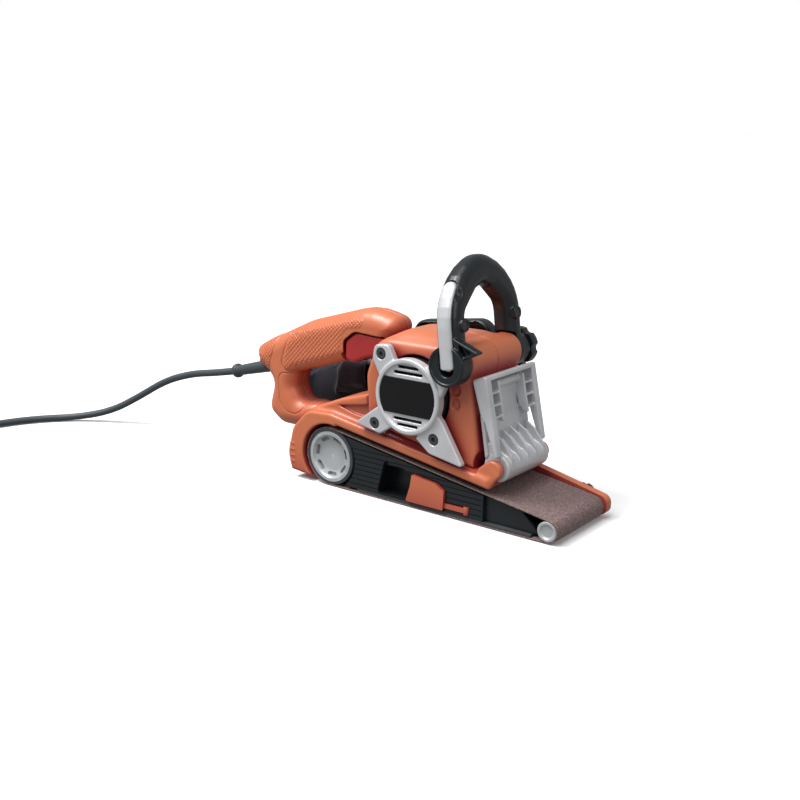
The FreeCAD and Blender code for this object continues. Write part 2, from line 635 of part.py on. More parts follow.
# ---------------------------------------------------------------- front handle
def make_front_handle():
    outer = size("handle_outer")
    inner = outer - size("handle_bar")
    rise = size("handle_rise")
    outside = [(-outer, -2), (-outer, 45.5, 46), (-28.5, 73, 60), (0, rise + 4, 30), (28.5, 73, 60),
               (outer, 45.5, 46), (outer, -2)]
    inside = [(inner, -2), (inner, 38, 14), (12, 54, 8), (0, 58, 10), (-12, 54, 8), (-inner, 38, 14),
              (-inner, -2)]
    arch = front_pad("handle_arch", -10, 10, rounded(outside + inside))
    soft = doc.addObject("Part::Feature", "handle_soft_edges")
    doc.recompute()
    soft.Shape = arch.Shape.makeFillet(6.0, long_edges(arch.Shape))
    near_hub = cyl_y(0, 0, -52, "-hub_inner", "hub_r")
    far_hub = cyl_y(0, 0, "hub_inner", 51, "hub_r - 2")
    lug = side_pad("handle_lug", -49, -41, rounded([(10, 3), (29.5, 9.5, 1), (6, 22)]))
    tube_room = cyl_y(0, 0, "-hub_inner", "hub_inner", "hub_r + 0.6")
    bolt_hole = cyl_y(0, 0, -48, 60, "bolt_r")
    inlay_outline = [(-6.4, -7, 6), (6.4, -7, 6), (5.5, 40, 5), (-5.5, 40, 5)]
    inlay_room = side_pad("inlay_room", -54, -49.2, rounded(inlay_outline))
    handle = cut(fuse(soft, near_hub, far_hub, lug), tube_room, bolt_hole, inlay_room)
    inlay = side_pad("inlay_blank", -53, -49.2, rounded(inlay_outline))
    screws = [cyl_x(y, h, 10, 11.6, 3.2) for y, h in ((-38, 30), (38, 30))]
    pivot = FreeCAD.Placement(V(size("pivot_x"), 0, size("pivot_z")),
                              FreeCAD.Rotation(V(0, 1, 0), -size("handle_lean")))
    for name, thing in (("front_handle", handle), ("handle_inlay", inlay), ("handle_screws", group(screws))):
        thing.Placement = pivot
        keep(name, thing)
    keep("handle_bolt", cyl_y("pivot_x", "pivot_z", -48, 56, "bolt_r"))
    knob = cut(cyl_y("pivot_x", "pivot_z", 51.5, 60, "hub_r"),
               *ring_y(KNOB_LOBES, size("pivot_x"), size("pivot_z"), size("hub_r") + 2.5, 50, 62, 4.5),
               cyl_y("pivot_x", "pivot_z", 50, 57, "bolt_r + run_fit"))
    keep("handle_knob", knob)


def long_edges(shape):
    """Edges of an extruded bar that run around its two flat faces."""
    chosen = []
    for edge in shape.Edges:
        box_of_edge = edge.BoundBox
        if box_of_edge.XLength < 1e-3 and box_of_edge.ZMax > 6:
            chosen.append(edge)
    return chosen


# ---------------------------------------------------------------- belt guard
def make_guard():
    """Silver guard, raised: a tray that hinges down over the front roller."""
    side = rounded([(36.2, 115, 2), (48.3, 119.6, 2), (61.2, 57.2, 2), (58.2, 56.4, 1), (48.5, 83, 3),
                    (45, 87, 3)])
    walls = side_pad("guard_walls", "-guard_half", "guard_half", side)
    hollow = side_pad("guard_hollow", "-guard_half + 7", "guard_half - 7",
                      rounded([(39.5, 113), (52, 116), (70, 116), (70, 40), (49.5, 40)]))
    floor = side_pad("guard_floor", "-guard_half + 5", "guard_half - 5",
                     rounded([(36.6, 113.6, 1), (39.4, 114, 1), (50, 57), (47.2, 52, 1)]))
    back_room = side_pad("guard_back_room", "-guard_half + 3", "guard_half - 3",
                         rounded([(30, 112.4), (36.6, 112.4), (47.2, 52), (30, 52)]))
    barrel = cyl_y("hinge_x", "hinge_z", -30.6, 30.6, "barrel_r")
    neck = side_pad("guard_neck", -30.6, 30.6, rounded([(46, 47), (47, 66), (51, 66), (60, 56), (60, 47)]))
    rib_outline = [(49, 74), (57, 69, 4), (67, 57, 8), (68, 44, 6), (60, 37), (52, 52)]
    rib_blanks = [side_pad("guard_rib", y - 0.8, y + 0.8, rounded(rib_outline)) for y in (-24, -12, 0, 12, 24)]
    rib_limit = fuse(cyl_y("hinge_x", "hinge_z", -31, 31, "barrel_r + 1.4"), box(44, 80, -31, 31, 50, 90))
    windows = []
    for side_y in (-32.2, 32.2):
        for z, tall in GUARD_WINDOWS:
            rim = 50.5 - (z - GUARD_WINDOWS[0][0]) * 0.208
            windows.append(box(rim - 8.6, rim + 6, side_y - 2.8, side_y + 2.8, z, z + tall))
    pin_hole = cyl_y("hinge_x", "hinge_z", -50, 50, "pin_r + run_fit")
    tray = cut(walls, hollow, back_room, *windows)
    ribs = [common(rib, rib_limit) for rib in rib_blanks]
    keep("belt_guard", cut(fuse(tray, floor, barrel, neck, *ribs), pin_hole))


# ---------------------------------------------------------------- rear handle
def handle_side():
    """The rear handle's outline: top of the grip, tail, lower leg, then along the base and the housing."""
    return rounded([
        (-48, 146.4, 10), (-84, 155.5, 60), (-152, 136, 60), (-204, 112, 12), (-220, 103, 6), (-217, 88, 6),
        (-206, 84, 6), (-197.5, 74, 10), (-205.5, 47, 12), (-187, 35.4, 16), (-150, 36), (-140, 50.4),
        (-128, 66.4), (-96, 79.4, 30), (-70.4, 87.2), (-70.4, 104, 20), (-62, 125), (-56, 132)])


def handle_hole():
    """The opening for the fingers."""
    return rounded([(-168, 87, 8), (-171, 74, 8), (-164, 61, 8), (-142, 62, 8), (-96, 80.4), (-71, 88),
                    (-71, 115.5, 10), (-90, 112), (-127, 99.8)])


def make_rear_handle():
    plate = side_pad("grip_blank", "-grip_half", "grip_half", handle_side())
    hole = side_pad("grip_hole", -30, 30, handle_hole())
    trigger_room = side_pad("trigger_room", "-trigger_half - 0.3", "trigger_half + 0.3", rounded([
        (-111.5, 96), (-111.5, 131, 6), (-101, 140, 6), (-62, 140, 4), (-62, 105)]))
    trigger_window = side_pad("trigger_window", -30, 30, rounded([
        (-108.4, 96), (-108.4, 124.4, 6.8), (-96.2, 133.8, 10.8), (-66, 131.9, 4.8), (-64, 105)]))
    switch_room = box(-110, -62, -11, 11, 130, 147)
    tail_room = along_sleeve(30, 32, 6.2, 6.2, FreeCAD.Rotation(V(0, 1, 0), size("sleeve_tilt")))
    clamp_room = box(-202, -188, -9.5, 9.5, 85, 104.5)
    lock_room = cyl_y(-88, 141, 5, 20, 4.3)
    leg_room = box(-200, -160, -12, 12, 42, 56)
    whole = cut(plate, nodes["base_frame"], nodes["housing_right"], nodes["housing_left"], hole, trigger_room,
                trigger_window, switch_room, tail_room, clamp_room, lock_room, leg_room)
    keep("handle_right", common(whole, box(-240, -40, -40, 0, 20, 170)))
    keep("handle_left", common(whole, box(-240, -40, 0, 40, 20, 170)))
    keep("trigger", side_pad("trigger", "-trigger_half", "trigger_half", rounded([
        (-107.6, 108, 4), (-107.6, 124, 6), (-96, 133, 10), (-67, 131, 4), (-70, 116, 4), (-85, 112, 6),
        (-99, 105.6, 3)])))
    keep("lock_button", cyl_y(-88, 141, 12, 19.6, 4))
    keep("switch_body", box(-80, -63, -9, 9, 137, 146))


def make_housing_screws():
    """The same pan-head screw in the drive cover and in the rear handle's left half."""
    screws = [cyl_y(x, z, face, "%s + screw_head" % face, "screw_r") for face, x, z in HOUSING_SCREWS]
    keep("housing_screws", group(screws))


# ---------------------------------------------------------------- dust port and bag
def make_dust():
    """Duct from the drive cover, and the cloth bag whose collar slips over it."""
    duct_bore = cyl_x("duct_y", "duct_z", -150, -80, "duct_r - 2")
    keep("dust_duct", cut(cyl_x("duct_y", "duct_z", -144, -92, "duct_r"), duct_bore))
    collar = cut(cyl_x("duct_y", "duct_z", -152, -128, "duct_r + 2.6"),
                 cyl_x("duct_y", "duct_z", -160, -100, "duct_r + 0.3"))
    keep("bag_collar", collar)
    sack = side_pad("bag_sack", 23, 80, rounded([
        (-209, 38, 14), (-158, 35, 8), (-156.5, 62, 6), (-136, 68.5, 4), (-134, 96, 8), (-166, 99, 30),
        (-209, 82, 18)]))
    doc.recompute()
    soft = doc.addObject("Part::Feature", "bag_soft_edges")
    soft.Shape = sack.Shape.makeFillet(9.0, [e for e in sack.Shape.Edges if e.BoundBox.YLength < 1e-3
                                             and e.BoundBox.XMax < -150 and e.Length > 8])
    neck = cyl_x("duct_y", "duct_z", -140, -130, "duct_r + 4.4")
    shoulder = box(-152, -119, 23.5, 41.5, 70.5, 98)
    room = cyl_x("duct_y", "duct_z", -154, -100, "duct_r + 2.6")
    keep("dust_bag", cut(fuse(soft, neck, shoulder), room))


# ---------------------------------------------------------------- mains cord
# Centre line from the sleeve down to the bench and round to the coil.
CORD_ROUTE = [
    (-257, 0, 73.5), (-282, -1, 68.2), (-317, -3, 62.5), (-353, -7, 50.5), (-386, -15, 30), (-417, -27, 12),
    (-450, -46, 3.6), (-478, -78, 3.6), (-494, -118, 3.6), (-500.6, -162, 3.6), (-500.5, -205, 3.6),
]


def cord_path(points):
    """Straight runs joined by arcs as large as the runs allow."""
    corners = [V(*p) for p in points]
    edges = []
    start = corners[0]
    for before, corner, after in zip(corners, corners[1:], corners[2:]):
        back = before - corner
        ahead = after - corner
        shorter = min(back.Length, ahead.Length)
        turn = math.pi - back.getAngle(ahead)
        reach = 0.45 * shorter
        radius = reach / math.tan(turn / 2)
        print("cord bend radius", round(radius, 1))
        enter = corner + back.normalize() * reach
        leave = corner + ahead.normalize() * reach
        middle_way = (back + ahead).normalize()
        middle = corner + middle_way * (radius / math.cos(turn / 2) - radius)
        edges.append(Part.LineSegment(start, enter).toShape())
        edges.append(Part.Arc(enter, middle, leave).toShape())
        start = leave
    edges.append(Part.LineSegment(start, corners[-1]).toShape())
    return Part.Wire(edges)


def make_cord():
    path = cord_path(CORD_ROUTE)
    radius = size("cord_d") / 2
    first = V(*CORD_ROUTE[1]) - V(*CORD_ROUTE[0])
    section = Part.Wire(Part.makeCircle(radius, V(*CORD_ROUTE[0]), first))
    tube = doc.addObject("Part::Feature", "cord_tube_sweep")
    tube.Shape = path.makePipeShell([section], True, False)
    print("cord tube length", round(path.Length, 1), "volume share",
          round(tube.Shape.Volume / (math.pi * radius ** 2 * path.Length), 4))
    keep("cord_tube", tube)
    wide = "coil_r + 2 * cord_d"
    keep("cord_coil", cut(cyl("coil_x", "coil_y", 0, wide, "2 * cord_d"),
                          cyl("coil_x", "coil_y", -1, "coil_r - 2 * cord_d", "2 * cord_d + 2")))
    tilt = FreeCAD.Rotation(V(0, 1, 0), size("sleeve_tilt"))
    sleeve = fuse(along_sleeve(0, 6, 6.4, 6.6, tilt), along_sleeve(5, 50, 4.9, 6.1, tilt))
    keep("cord_sleeve", sleeve)
    clamp = cut(box(-201, -189, -9, 9, 85.5, 104), cyl_x(0, 94, -210, -180, "cord_d / 2"))
    keep("cord_clamp", clamp)
    plug = side_pad("plug_blank", "coil_y", "coil_y + 21",
                    rounded([(-474, 14.2, 5), (-430, 14.2, 5), (-424, 18), (-424, 31), (-430, 35.4, 5),
                             (-474, 35.4, 5)]))
    keep("plug_body", plug)
    pins = [cyl_x("coil_y + %g" % y, 24.8, -493, -474, 2.4) for y in (1.5 + 2.4, 21 - 1.5 - 2.4)]
    keep("plug_pins", group(pins))


def along_sleeve(start, length, radius, end_radius, tilt):
    """Cone on the sleeve's axis, from its far end towards the handle."""
    cone = doc.addObject("Part::Cone", "Cone")
    bind(cone, "Radius1", radius)
    bind(cone, "Radius2", end_radius)
    bind(cone, "Height", length)
    origin = V(size("sleeve_x"), 0, size("sleeve_z")) + tilt.multVec(V(0, 0, start))
    cone.Placement = FreeCAD.Placement(origin, tilt)
    return cone


# Each file is one sub-part, placed in the machine's frame.
def write_parts():
    doc.recompute()
    broken = [thing.Name for thing in doc.Objects if "Invalid" in thing.State or "Error" in thing.State]
    if broken:
        raise SystemExit("failed objects: " + ", ".join(broken))
    os.makedirs("parts", exist_ok=True)
    for name, thing in nodes.items():
        shape = thing.Shape
        if shape.isNull() or not shape.isValid():
            raise SystemExit("bad shape: " + name)
        shape.exportStep(os.path.join("parts", name + ".step"))
        print(name, "solids", len(shape.Solids), "volume", round(shape.Volume))


make_belt()
make_drive_wheel()
make_roller()
make_chassis()
make_side_plate()
make_tension_lever()
make_yoke()
make_base()
make_rail()
make_housing()
make_cap()
make_motor()
make_drive_cover()
make_front_handle()
make_guard()
make_rear_handle()
make_housing_screws()
make_dust()
make_cord()
write_parts()
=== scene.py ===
import json
import math

import bmesh
import bpy
import numpy as np
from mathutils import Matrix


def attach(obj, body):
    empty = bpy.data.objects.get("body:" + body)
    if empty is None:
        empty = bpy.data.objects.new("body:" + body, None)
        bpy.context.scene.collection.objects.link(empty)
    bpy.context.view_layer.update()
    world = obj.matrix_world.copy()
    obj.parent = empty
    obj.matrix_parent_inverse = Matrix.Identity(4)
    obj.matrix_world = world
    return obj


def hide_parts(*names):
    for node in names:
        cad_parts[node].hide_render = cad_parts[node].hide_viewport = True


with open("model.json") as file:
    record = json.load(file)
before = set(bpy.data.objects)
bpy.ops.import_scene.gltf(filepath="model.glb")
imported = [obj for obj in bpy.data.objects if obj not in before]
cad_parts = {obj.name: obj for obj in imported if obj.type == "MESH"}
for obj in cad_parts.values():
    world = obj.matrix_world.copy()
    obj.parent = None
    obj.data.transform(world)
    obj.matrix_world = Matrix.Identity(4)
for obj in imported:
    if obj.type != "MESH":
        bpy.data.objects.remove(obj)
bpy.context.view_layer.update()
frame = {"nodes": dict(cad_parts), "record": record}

import openvdb
from mathutils import Matrix, Vector

MM = 0.001

# Places taken from the design, in millimetres.
WHEEL = (-106.0, 26.0)
MOTOR = (-17.8, 94.8)
PIVOT = (21.5, 125.5)
HINGE = (57.0, 47.0)
HANDLE_LEAN = math.radians(7.0)
CORD_EXIT = (-257.0, 0.0, 73.5)
SLEEVE_LEAN = math.radians(14.5)
DUCT = (51.0, 84.0)    # the dust duct's middle line, in Y and Z


# ---------------------------------------------------------------- camera
CAMERA_ROUND = math.radians(39.51)
CAMERA_DOWN = math.radians(14.37)
CAMERA_PLACE = (0.4672, -0.7053, 0.3019)


def make_camera():
    """The photograph's viewing angle: round towards the nose, and down."""
    level = math.cos(CAMERA_DOWN)
    back = Vector((math.sin(CAMERA_ROUND) * level, -math.cos(CAMERA_ROUND) * level, math.sin(CAMERA_DOWN)))
    data = bpy.data.cameras.new("camera")
    data.lens = 48.03
    data.sensor_width = 36.0
    data.shift_x = 0.0625
    camera = bpy.data.objects.new("camera", data)
    camera.location = CAMERA_PLACE
    camera.rotation_mode = "QUATERNION"
    camera.rotation_quaternion = (-back).to_track_quat("-Z", "Y")
    bpy.context.scene.collection.objects.link(camera)
    bpy.context.scene.camera = camera


# ---------------------------------------------------------------- materials
class Paint:
    """One Principled material, with short helpers for the nodes that vary over its surface."""

    def __init__(self, name, colour, roughness, metallic=0.0, specular=0.5):
        self.material = bpy.data.materials.new(name)
        self.material.use_nodes = True
        self.nodes = self.material.node_tree.nodes
        self.links = self.material.node_tree.links
        self.shader = self.nodes["Principled BSDF"]
        self.shader.inputs["Base Color"].default_value = (*colour, 1)
        self.shader.inputs["Roughness"].default_value = roughness
        self.shader.inputs["Metallic"].default_value = metallic
        self.shader.inputs["Specular IOR Level"].default_value = specular
        self.colour = colour
        self.place = self.nodes.new("ShaderNodeTexCoord").outputs["Object"]
        self.height = None

    def stretched(self, scale, turn=(0, 0, 0)):
        """The surface's own coordinates, scaled and turned."""
        mapping = self.nodes.new("ShaderNodeMapping")
        mapping.inputs["Scale"].default_value = scale
        mapping.inputs["Rotation"].default_value = turn
        self.links.new(self.place, mapping.inputs["Vector"])
        return mapping.outputs["Vector"]

    def noise(self, scale, detail=3.0, place=None):
        """Cloudy mask."""
        node = self.nodes.new("ShaderNodeTexNoise")
        node.inputs["Scale"].default_value = scale
        node.inputs["Detail"].default_value = detail
        self.links.new(place or self.place, node.inputs["Vector"])
        return node.outputs["Fac"]

    def cells(self, scale, place=None):
        """Mask of small round grains."""
        node = self.nodes.new("ShaderNodeTexVoronoi")
        node.inputs["Scale"].default_value = scale
        self.links.new(place or self.place, node.inputs["Vector"])
        return node.outputs["Distance"]

    def painted_shade_openness(self, reach):
        """1 on open faces, less in hollows no deeper than a reach in metres; a mask for painted shade."""
        node = self.nodes.new("ShaderNodeAmbientOcclusion")
        node.samples = 8
        node.inputs["Distance"].default_value = reach
        return node.outputs["AO"]

    def waves(self, scale, direction, place=None):
        """Mask of even bands across a direction."""
        node = self.nodes.new("ShaderNodeTexWave")
        node.bands_direction = direction
        node.inputs["Scale"].default_value = scale
        self.links.new(place or self.place, node.inputs["Vector"])
        return node.outputs["Fac"]

    def maths(self, operation, first, second):
        """Sum or product of two masks or numbers."""
        node = self.nodes.new("ShaderNodeMath")
        node.operation = operation
        for socket, value in zip(node.inputs, (first, second)):
            if isinstance(value, (int, float)):
                socket.default_value = value
            else:
                self.links.new(value, socket)
        return node.outputs["Value"]

    def ramp(self, source, low, high, colours):
        """Colour from a mask, between two colours."""
        node = self.nodes.new("ShaderNodeValToRGB")
        node.color_ramp.elements[0].position = low
        node.color_ramp.elements[1].position = high
        for element, colour in zip(node.color_ramp.elements, colours):
            element.color = (*colour, 1)
        self.links.new(source, node.inputs["Fac"])
        return node.outputs["Color"]

    def tint(self, source, low, high, darker, lighter):
        """Base colour from a mask, between two multiples of the paint's own colour."""
        colours = [tuple(min(1.0, channel * share) for channel in self.colour)
                   for share in (darker, lighter)]
        self.links.new(self.ramp(source, low, high, colours), self.shader.inputs["Base Color"])

    def mix_tint(self, source, low, high, first, second):
        """Base colour from a mask, between two colours."""
        self.links.new(self.ramp(source, low, high, (first, second)), self.shader.inputs["Base Color"])

    def gloss(self, source, low, high):
        """Roughness from a mask, between two values."""
        node = self.nodes.new("ShaderNodeMapRange")
        node.inputs["To Min"].default_value = low
        node.inputs["To Max"].default_value = high
        self.links.new(source, node.inputs["Value"])
        self.links.new(node.outputs["Result"], self.shader.inputs["Roughness"])

    def relief(self, source, depth):
        """Bump of a real depth in metres; calls add up."""
        node = self.nodes.new("ShaderNodeBump")
        node.inputs["Strength"].default_value = 1.0
        node.inputs["Distance"].default_value = depth
        self.links.new(source, node.inputs["Height"])
        if self.height is not None:
            self.links.new(self.height, node.inputs["Normal"])
        self.height = node.outputs["Normal"]
        self.links.new(self.height, self.shader.inputs["Normal"])


def moulded(name, colour, roughness, grain, depth, metallic=0.0, specular=0.5):
    """Injection-moulded plastic: faint mottling, a painted highlight on convex edges and painted shade in
    creases, handled patches that shine, and a spark-eroded grain.
    """
    paint = Paint(name, colour, roughness, metallic, specular)
    mottle = paint.noise(38.0, 4.0)
    # Painted light: pointiness makes convex edges lighter, a painted highlight, and creases darker, painted
    # shade.
    painted_edge_highlight_and_crease_shade = paint.nodes.new("ShaderNodeNewGeometry").outputs["Pointiness"]
    mask = paint.maths("ADD", paint.maths("MULTIPLY", mottle, 0.35), painted_edge_highlight_and_crease_shade)
    paint.tint(mask, 0.56, 0.82, 0.80, 1.18)
    paint.gloss(paint.noise(120.0, 5.0), roughness - 0.07, roughness + 0.09)
    paint.relief(paint.noise(grain, 2.0), depth)
    return paint


def make_paints():
    """Every paint, by the name of its material slot or of the small part it is for."""
    paints = {}
    paints["orange_plastic"] = orange_plastic()
    paints["silver_plastic"] = moulded("silver_plastic", (0.60, 0.61, 0.63), 0.30, 2200.0, 0.00003, 0.3)
    paints["black_plastic"] = moulded("black_plastic", (0.0085, 0.0115, 0.014), 0.29, 1500.0, 0.00008,
                                      specular=0.45)
    paints["gloss_black"] = moulded("gloss_black", (0.004, 0.004, 0.005), 0.25, 900.0, 0.00001,
                                    specular=0.3)
    paints["red_plastic"] = moulded("red_plastic", (0.37, 0.022, 0.024), 0.34, 1500.0, 0.00004)
    paints["wheel_plastic"] = moulded("wheel_plastic", (0.44, 0.46, 0.47), 0.30, 1200.0, 0.00004, 0.25)
    paints["rubber"] = moulded("rubber", (0.040, 0.052, 0.060), 0.50, 1900.0, 0.00005)
    paints["abrasive"] = abrasive_cloth()
    paints["graphite"] = moulded("graphite", (0.05, 0.05, 0.055), 0.5, 2600.0, 0.00002, 0.2)
    paints["steel"] = turned_steel()
    paints["lamination"] = stacked_sheets()
    paints["copper"] = wound_copper()
    paints["bag_cloth"] = woven_cloth()
    return paints


def orange_plastic():
    """Warm orange, golden in the open, with painted shade that turns it dark red in its hollows, and a fine
    grain.
    """
    paint = Paint("orange_plastic", (0.50, 0.118, 0.052), 0.34)
    mottle = paint.maths("MULTIPLY", paint.noise(38.0, 4.0), 0.2)
    # Painted shade: ambient occlusion plus a little mottling makes the mask, so hollows and gaps between parts
    # darken.
    mask = paint.maths("MULTIPLY", paint.maths("ADD", paint.painted_shade_openness(0.035), mottle), 0.9)
    # Dark red is the painted shade colour, light orange the colour in the open.
    paint.mix_tint(mask, 0.32, 0.98, (0.27, 0.020, 0.028), (0.56, 0.158, 0.070))
    paint.gloss(paint.noise(120.0, 5.0), 0.27, 0.43)
    paint.relief(paint.noise(1400.0, 2.0), 0.00007)
    return paint


def abrasive_cloth():
    """Brown grit glued to cloth."""
    paint = Paint("abrasive", (0.17, 0.105, 0.10), 0.82, specular=0.3)
    grit = paint.cells(1300.0)
    speck = paint.noise(1500.0, 3.0)
    mask = paint.maths("ADD", paint.maths("MULTIPLY", grit, 0.5), paint.maths("MULTIPLY", speck, 0.9))
    paint.mix_tint(mask, 0.45, 1.0, (0.030, 0.016, 0.016), (0.34, 0.24, 0.23))
    paint.gloss(speck, 0.6, 0.95)
    paint.relief(grit, 0.00025)
    return paint


def turned_steel():
    """Bright steel with fine tool marks round its axis."""
    paint = Paint("steel", (0.56, 0.56, 0.57), 0.3, 1.0)
    lines = paint.noise(900.0, 3.0, paint.stretched((1.0, 9.0, 1.0)))
    paint.tint(lines, 0.3, 0.75, 0.80, 1.1)
    paint.gloss(lines, 0.22, 0.42)
    paint.relief(lines, 0.00001)
    return paint


def stacked_sheets():
    """Thin iron sheets, stacked along Y."""
    paint = Paint("lamination", (0.24, 0.24, 0.26), 0.45, 0.9)
    sheets = paint.waves(400.0, "Y")
    paint.tint(sheets, 0.2, 0.8, 0.55, 1.2)
    paint.gloss(paint.noise(300.0), 0.35, 0.6)
    paint.relief(sheets, 0.00006)
    return paint


def wound_copper():
    """Enamelled copper wire, lying side by side."""
    paint = Paint("copper", (0.62, 0.27, 0.11), 0.3, 0.85)
    wires = paint.waves(450.0, "X")
    paint.tint(wires, 0.1, 0.9, 0.5, 1.15)
    paint.gloss(paint.noise(500.0), 0.2, 0.45)
    paint.relief(wires, 0.0002)
    return paint


def woven_cloth():
    """Plain weave of about 1 mm pitch, with fuzz and a little cloudy fading."""
    paint = Paint("bag_cloth", (0.020, 0.023, 0.036), 0.88, specular=0.25)
    warp = paint.waves(330.0, "X")
    weft = paint.waves(330.0, "Z")
    weave = paint.maths("MULTIPLY", warp, weft)
    cloud = paint.maths("MULTIPLY", paint.noise(60.0), 0.6)
    fade = paint.maths("ADD", paint.maths("MULTIPLY", weave, 0.5), cloud)
    paint.tint(fade, 0.2, 0.9, 0.65, 1.9)
    paint.relief(weave, 0.00022)
    paint.relief(paint.noise(1800.0), 0.00008)
    paint.shader.inputs["Sheen Weight"].default_value = 0.35
    return paint


# ---------------------------------------------------------------- shapes from distance fields
class Grid:
    """Sample points of a box, in millimetres; a piece is where its distance field is below zero."""

    def __init__(self, low, high, pitch):
        self.pitch = pitch
        self.low = np.array(low, float) - 3 * pitch
        counts = np.ceil((np.array(high, float) - self.low) / pitch).astype(int) + 4
        axes = [(self.low[i] + pitch * np.arange(counts[i])).astype(np.float32) for i in range(3)]
        self.x, self.y, self.z = np.meshgrid(*axes, indexing="ij", sparse=True)
        self.shape = tuple(counts)


def rounded(corners):
    """Closed outline from (a, b) or (a, b, radius) corners, with its arcs as short chords."""
    points = []
    count = len(corners)
    for i, corner in enumerate(corners):
        here = Vector(corner[:2])
        radius = corner[2] if len(corner) > 2 else 0.0
        if radius == 0:
            points.append(here)
            continue
        back = (Vector(corners[i - 1][:2]) - here).normalized()
        ahead = (Vector(corners[(i + 1) % count][:2]) - here).normalized()
        half = back.angle(ahead) / 2
        centre = here + (back + ahead).normalized() * radius / math.sin(half)
        start = here + back * radius / math.tan(half) - centre
        sweep = math.pi - 2 * half
        if back.x * ahead.y - back.y * ahead.x > 0:
            sweep = -sweep
        steps = max(2, math.ceil(abs(sweep) / 0.2))
        for step in range(steps + 1):
            turn = sweep * step / steps
            points.append(centre + Vector((start.x * math.cos(turn) - start.y * math.sin(turn),
                                           start.x * math.sin(turn) + start.y * math.cos(turn))))
    return points


def outline(a, b, corners):
    """Signed distance in a plane to a closed outline."""
    points = rounded(corners)
    nearest = np.float32(1e12)
    inside = np.zeros(np.broadcast_shapes(a.shape, b.shape), bool)
    for start, end in zip(points, points[1:] + points[:1]):
        along = end - start
        if along.length < 1e-6:
            continue
        share = ((a - start.x) * along.x + (b - start.y) * along.y) / along.length_squared
        share = np.clip(share, 0, 1)
        gap = (a - start.x - along.x * share) ** 2 + (b - start.y - along.y * share) ** 2
        nearest = np.minimum(nearest, gap)
        if along.y != 0:
            crossing = start.x + along.x * (b - start.y) / along.y
            inside ^= ((start.y > b) != (end.y > b)) & (a < crossing)
    return np.where(inside, -1, 1) * np.sqrt(nearest)


def slab(value, low, high):
    """Distance field of a stretch between two values."""
    return np.abs(value - (low + high) / 2) - (high - low) / 2


def capped(first, second, edge):
    """Where both fields hold, with a round edge between them."""
    first = first + edge
    second = second + edge
    outside = np.hypot(np.maximum(first, 0), np.maximum(second, 0))
    return np.minimum(np.maximum(first, second), 0) + outside - edge


def join(first, second, soft=0.0):
    """Union, with a fillet."""
    if soft == 0:
        return np.minimum(first, second)
    share = np.clip(0.5 + 0.5 * (second - first) / soft, 0, 1)
    return second * (1 - share) + first * share - soft * share * (1 - share)


def both(first, second, soft=0.0):
    """Intersection, with a rounded edge."""
    return -join(-first, -second, soft)


def carve(base, tool, soft=0.0):
    """Base without the tool, with a rounded rim."""
    return both(base, -tool, soft)


def prism(grid, corners, low, high, edge=0.5):
    """Side outline through a stretch of Y."""
    return capped(outline(grid.x, grid.z, corners), slab(grid.y, low, high), edge)


def disc(grid, centre, radius, low, high, edge=0.5):
    """Cylinder along Y."""
    return capped(np.hypot(grid.x - centre[0], grid.z - centre[1]) - radius, slab(grid.y, low, high), edge)


def block(grid, x, y, z, edge=0.0):
    """Box from its stretches of X, Y and Z."""
    flat = capped(slab(grid.x, *x), slab(grid.z, *z), edge)
    return capped(flat, slab(grid.y, *y), edge)


def mesh_of(name, grid, field):
    """Smooth mesh, in metres, of the surface where a field is zero."""
    volume = openvdb.FloatGrid(1.0)
    volume.copyFromArray(np.ascontiguousarray(np.broadcast_to(field, grid.shape), np.float32))
    points, quads = volume.convertToQuads(isovalue=0.0)
    mesh = bpy.data.meshes.new(name)
    places = (points * grid.pitch + grid.low) * MM
    mesh.from_pydata(places.tolist(), [], quads[:, ::-1].tolist())
    mesh.shade_smooth()
    return mesh


def piece(name, data, body, slot, paint=None, replaces=(), place=None):
    """Put a finished mesh or curve in the scene, on its body and with its paint."""
    thing = bpy.data.objects.new(name, data)
    bpy.context.scene.collection.objects.link(thing)
    data.materials.append((paint or PAINTS[slot]).material)
    if place is not None:
        data.transform(place)
    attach(thing, body)
    if replaces:
        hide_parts(*replaces)
    return thing


def belt_top(x):
    """Height of the belt's upper run."""
    return 51.7 - 0.1585 * (x + 101.9)


def from_duct(grid):
    """Distance from the dust duct's middle line."""
    return np.hypot(grid.y - DUCT[0], grid.z - DUCT[1])


# ---------------------------------------------------------------- motor housing
BODY_SIDE = [(-67, 66, 3), (-69.5, 104, 22), (-58, 133, 16), (-38, 144, 22), (12, 144.5, 18), (32, 136, 10),
             (34, 118), (41.5, 60), (41.5, 42), (-60, 61)]
BODY_FRONT = [(-36, 30), (36, 30), (36, 132, 10), (16, 146, 26), (-16, 146, 26), (-36, 132, 10)]
HOUSING_WALL = 3.0
HOUSING_SEAM = 0.12    # half the gap between the halves
CAP_SCREWS = [(-51.4, 67.5), (7.2, 64.1), (-45.2, 126.1)]


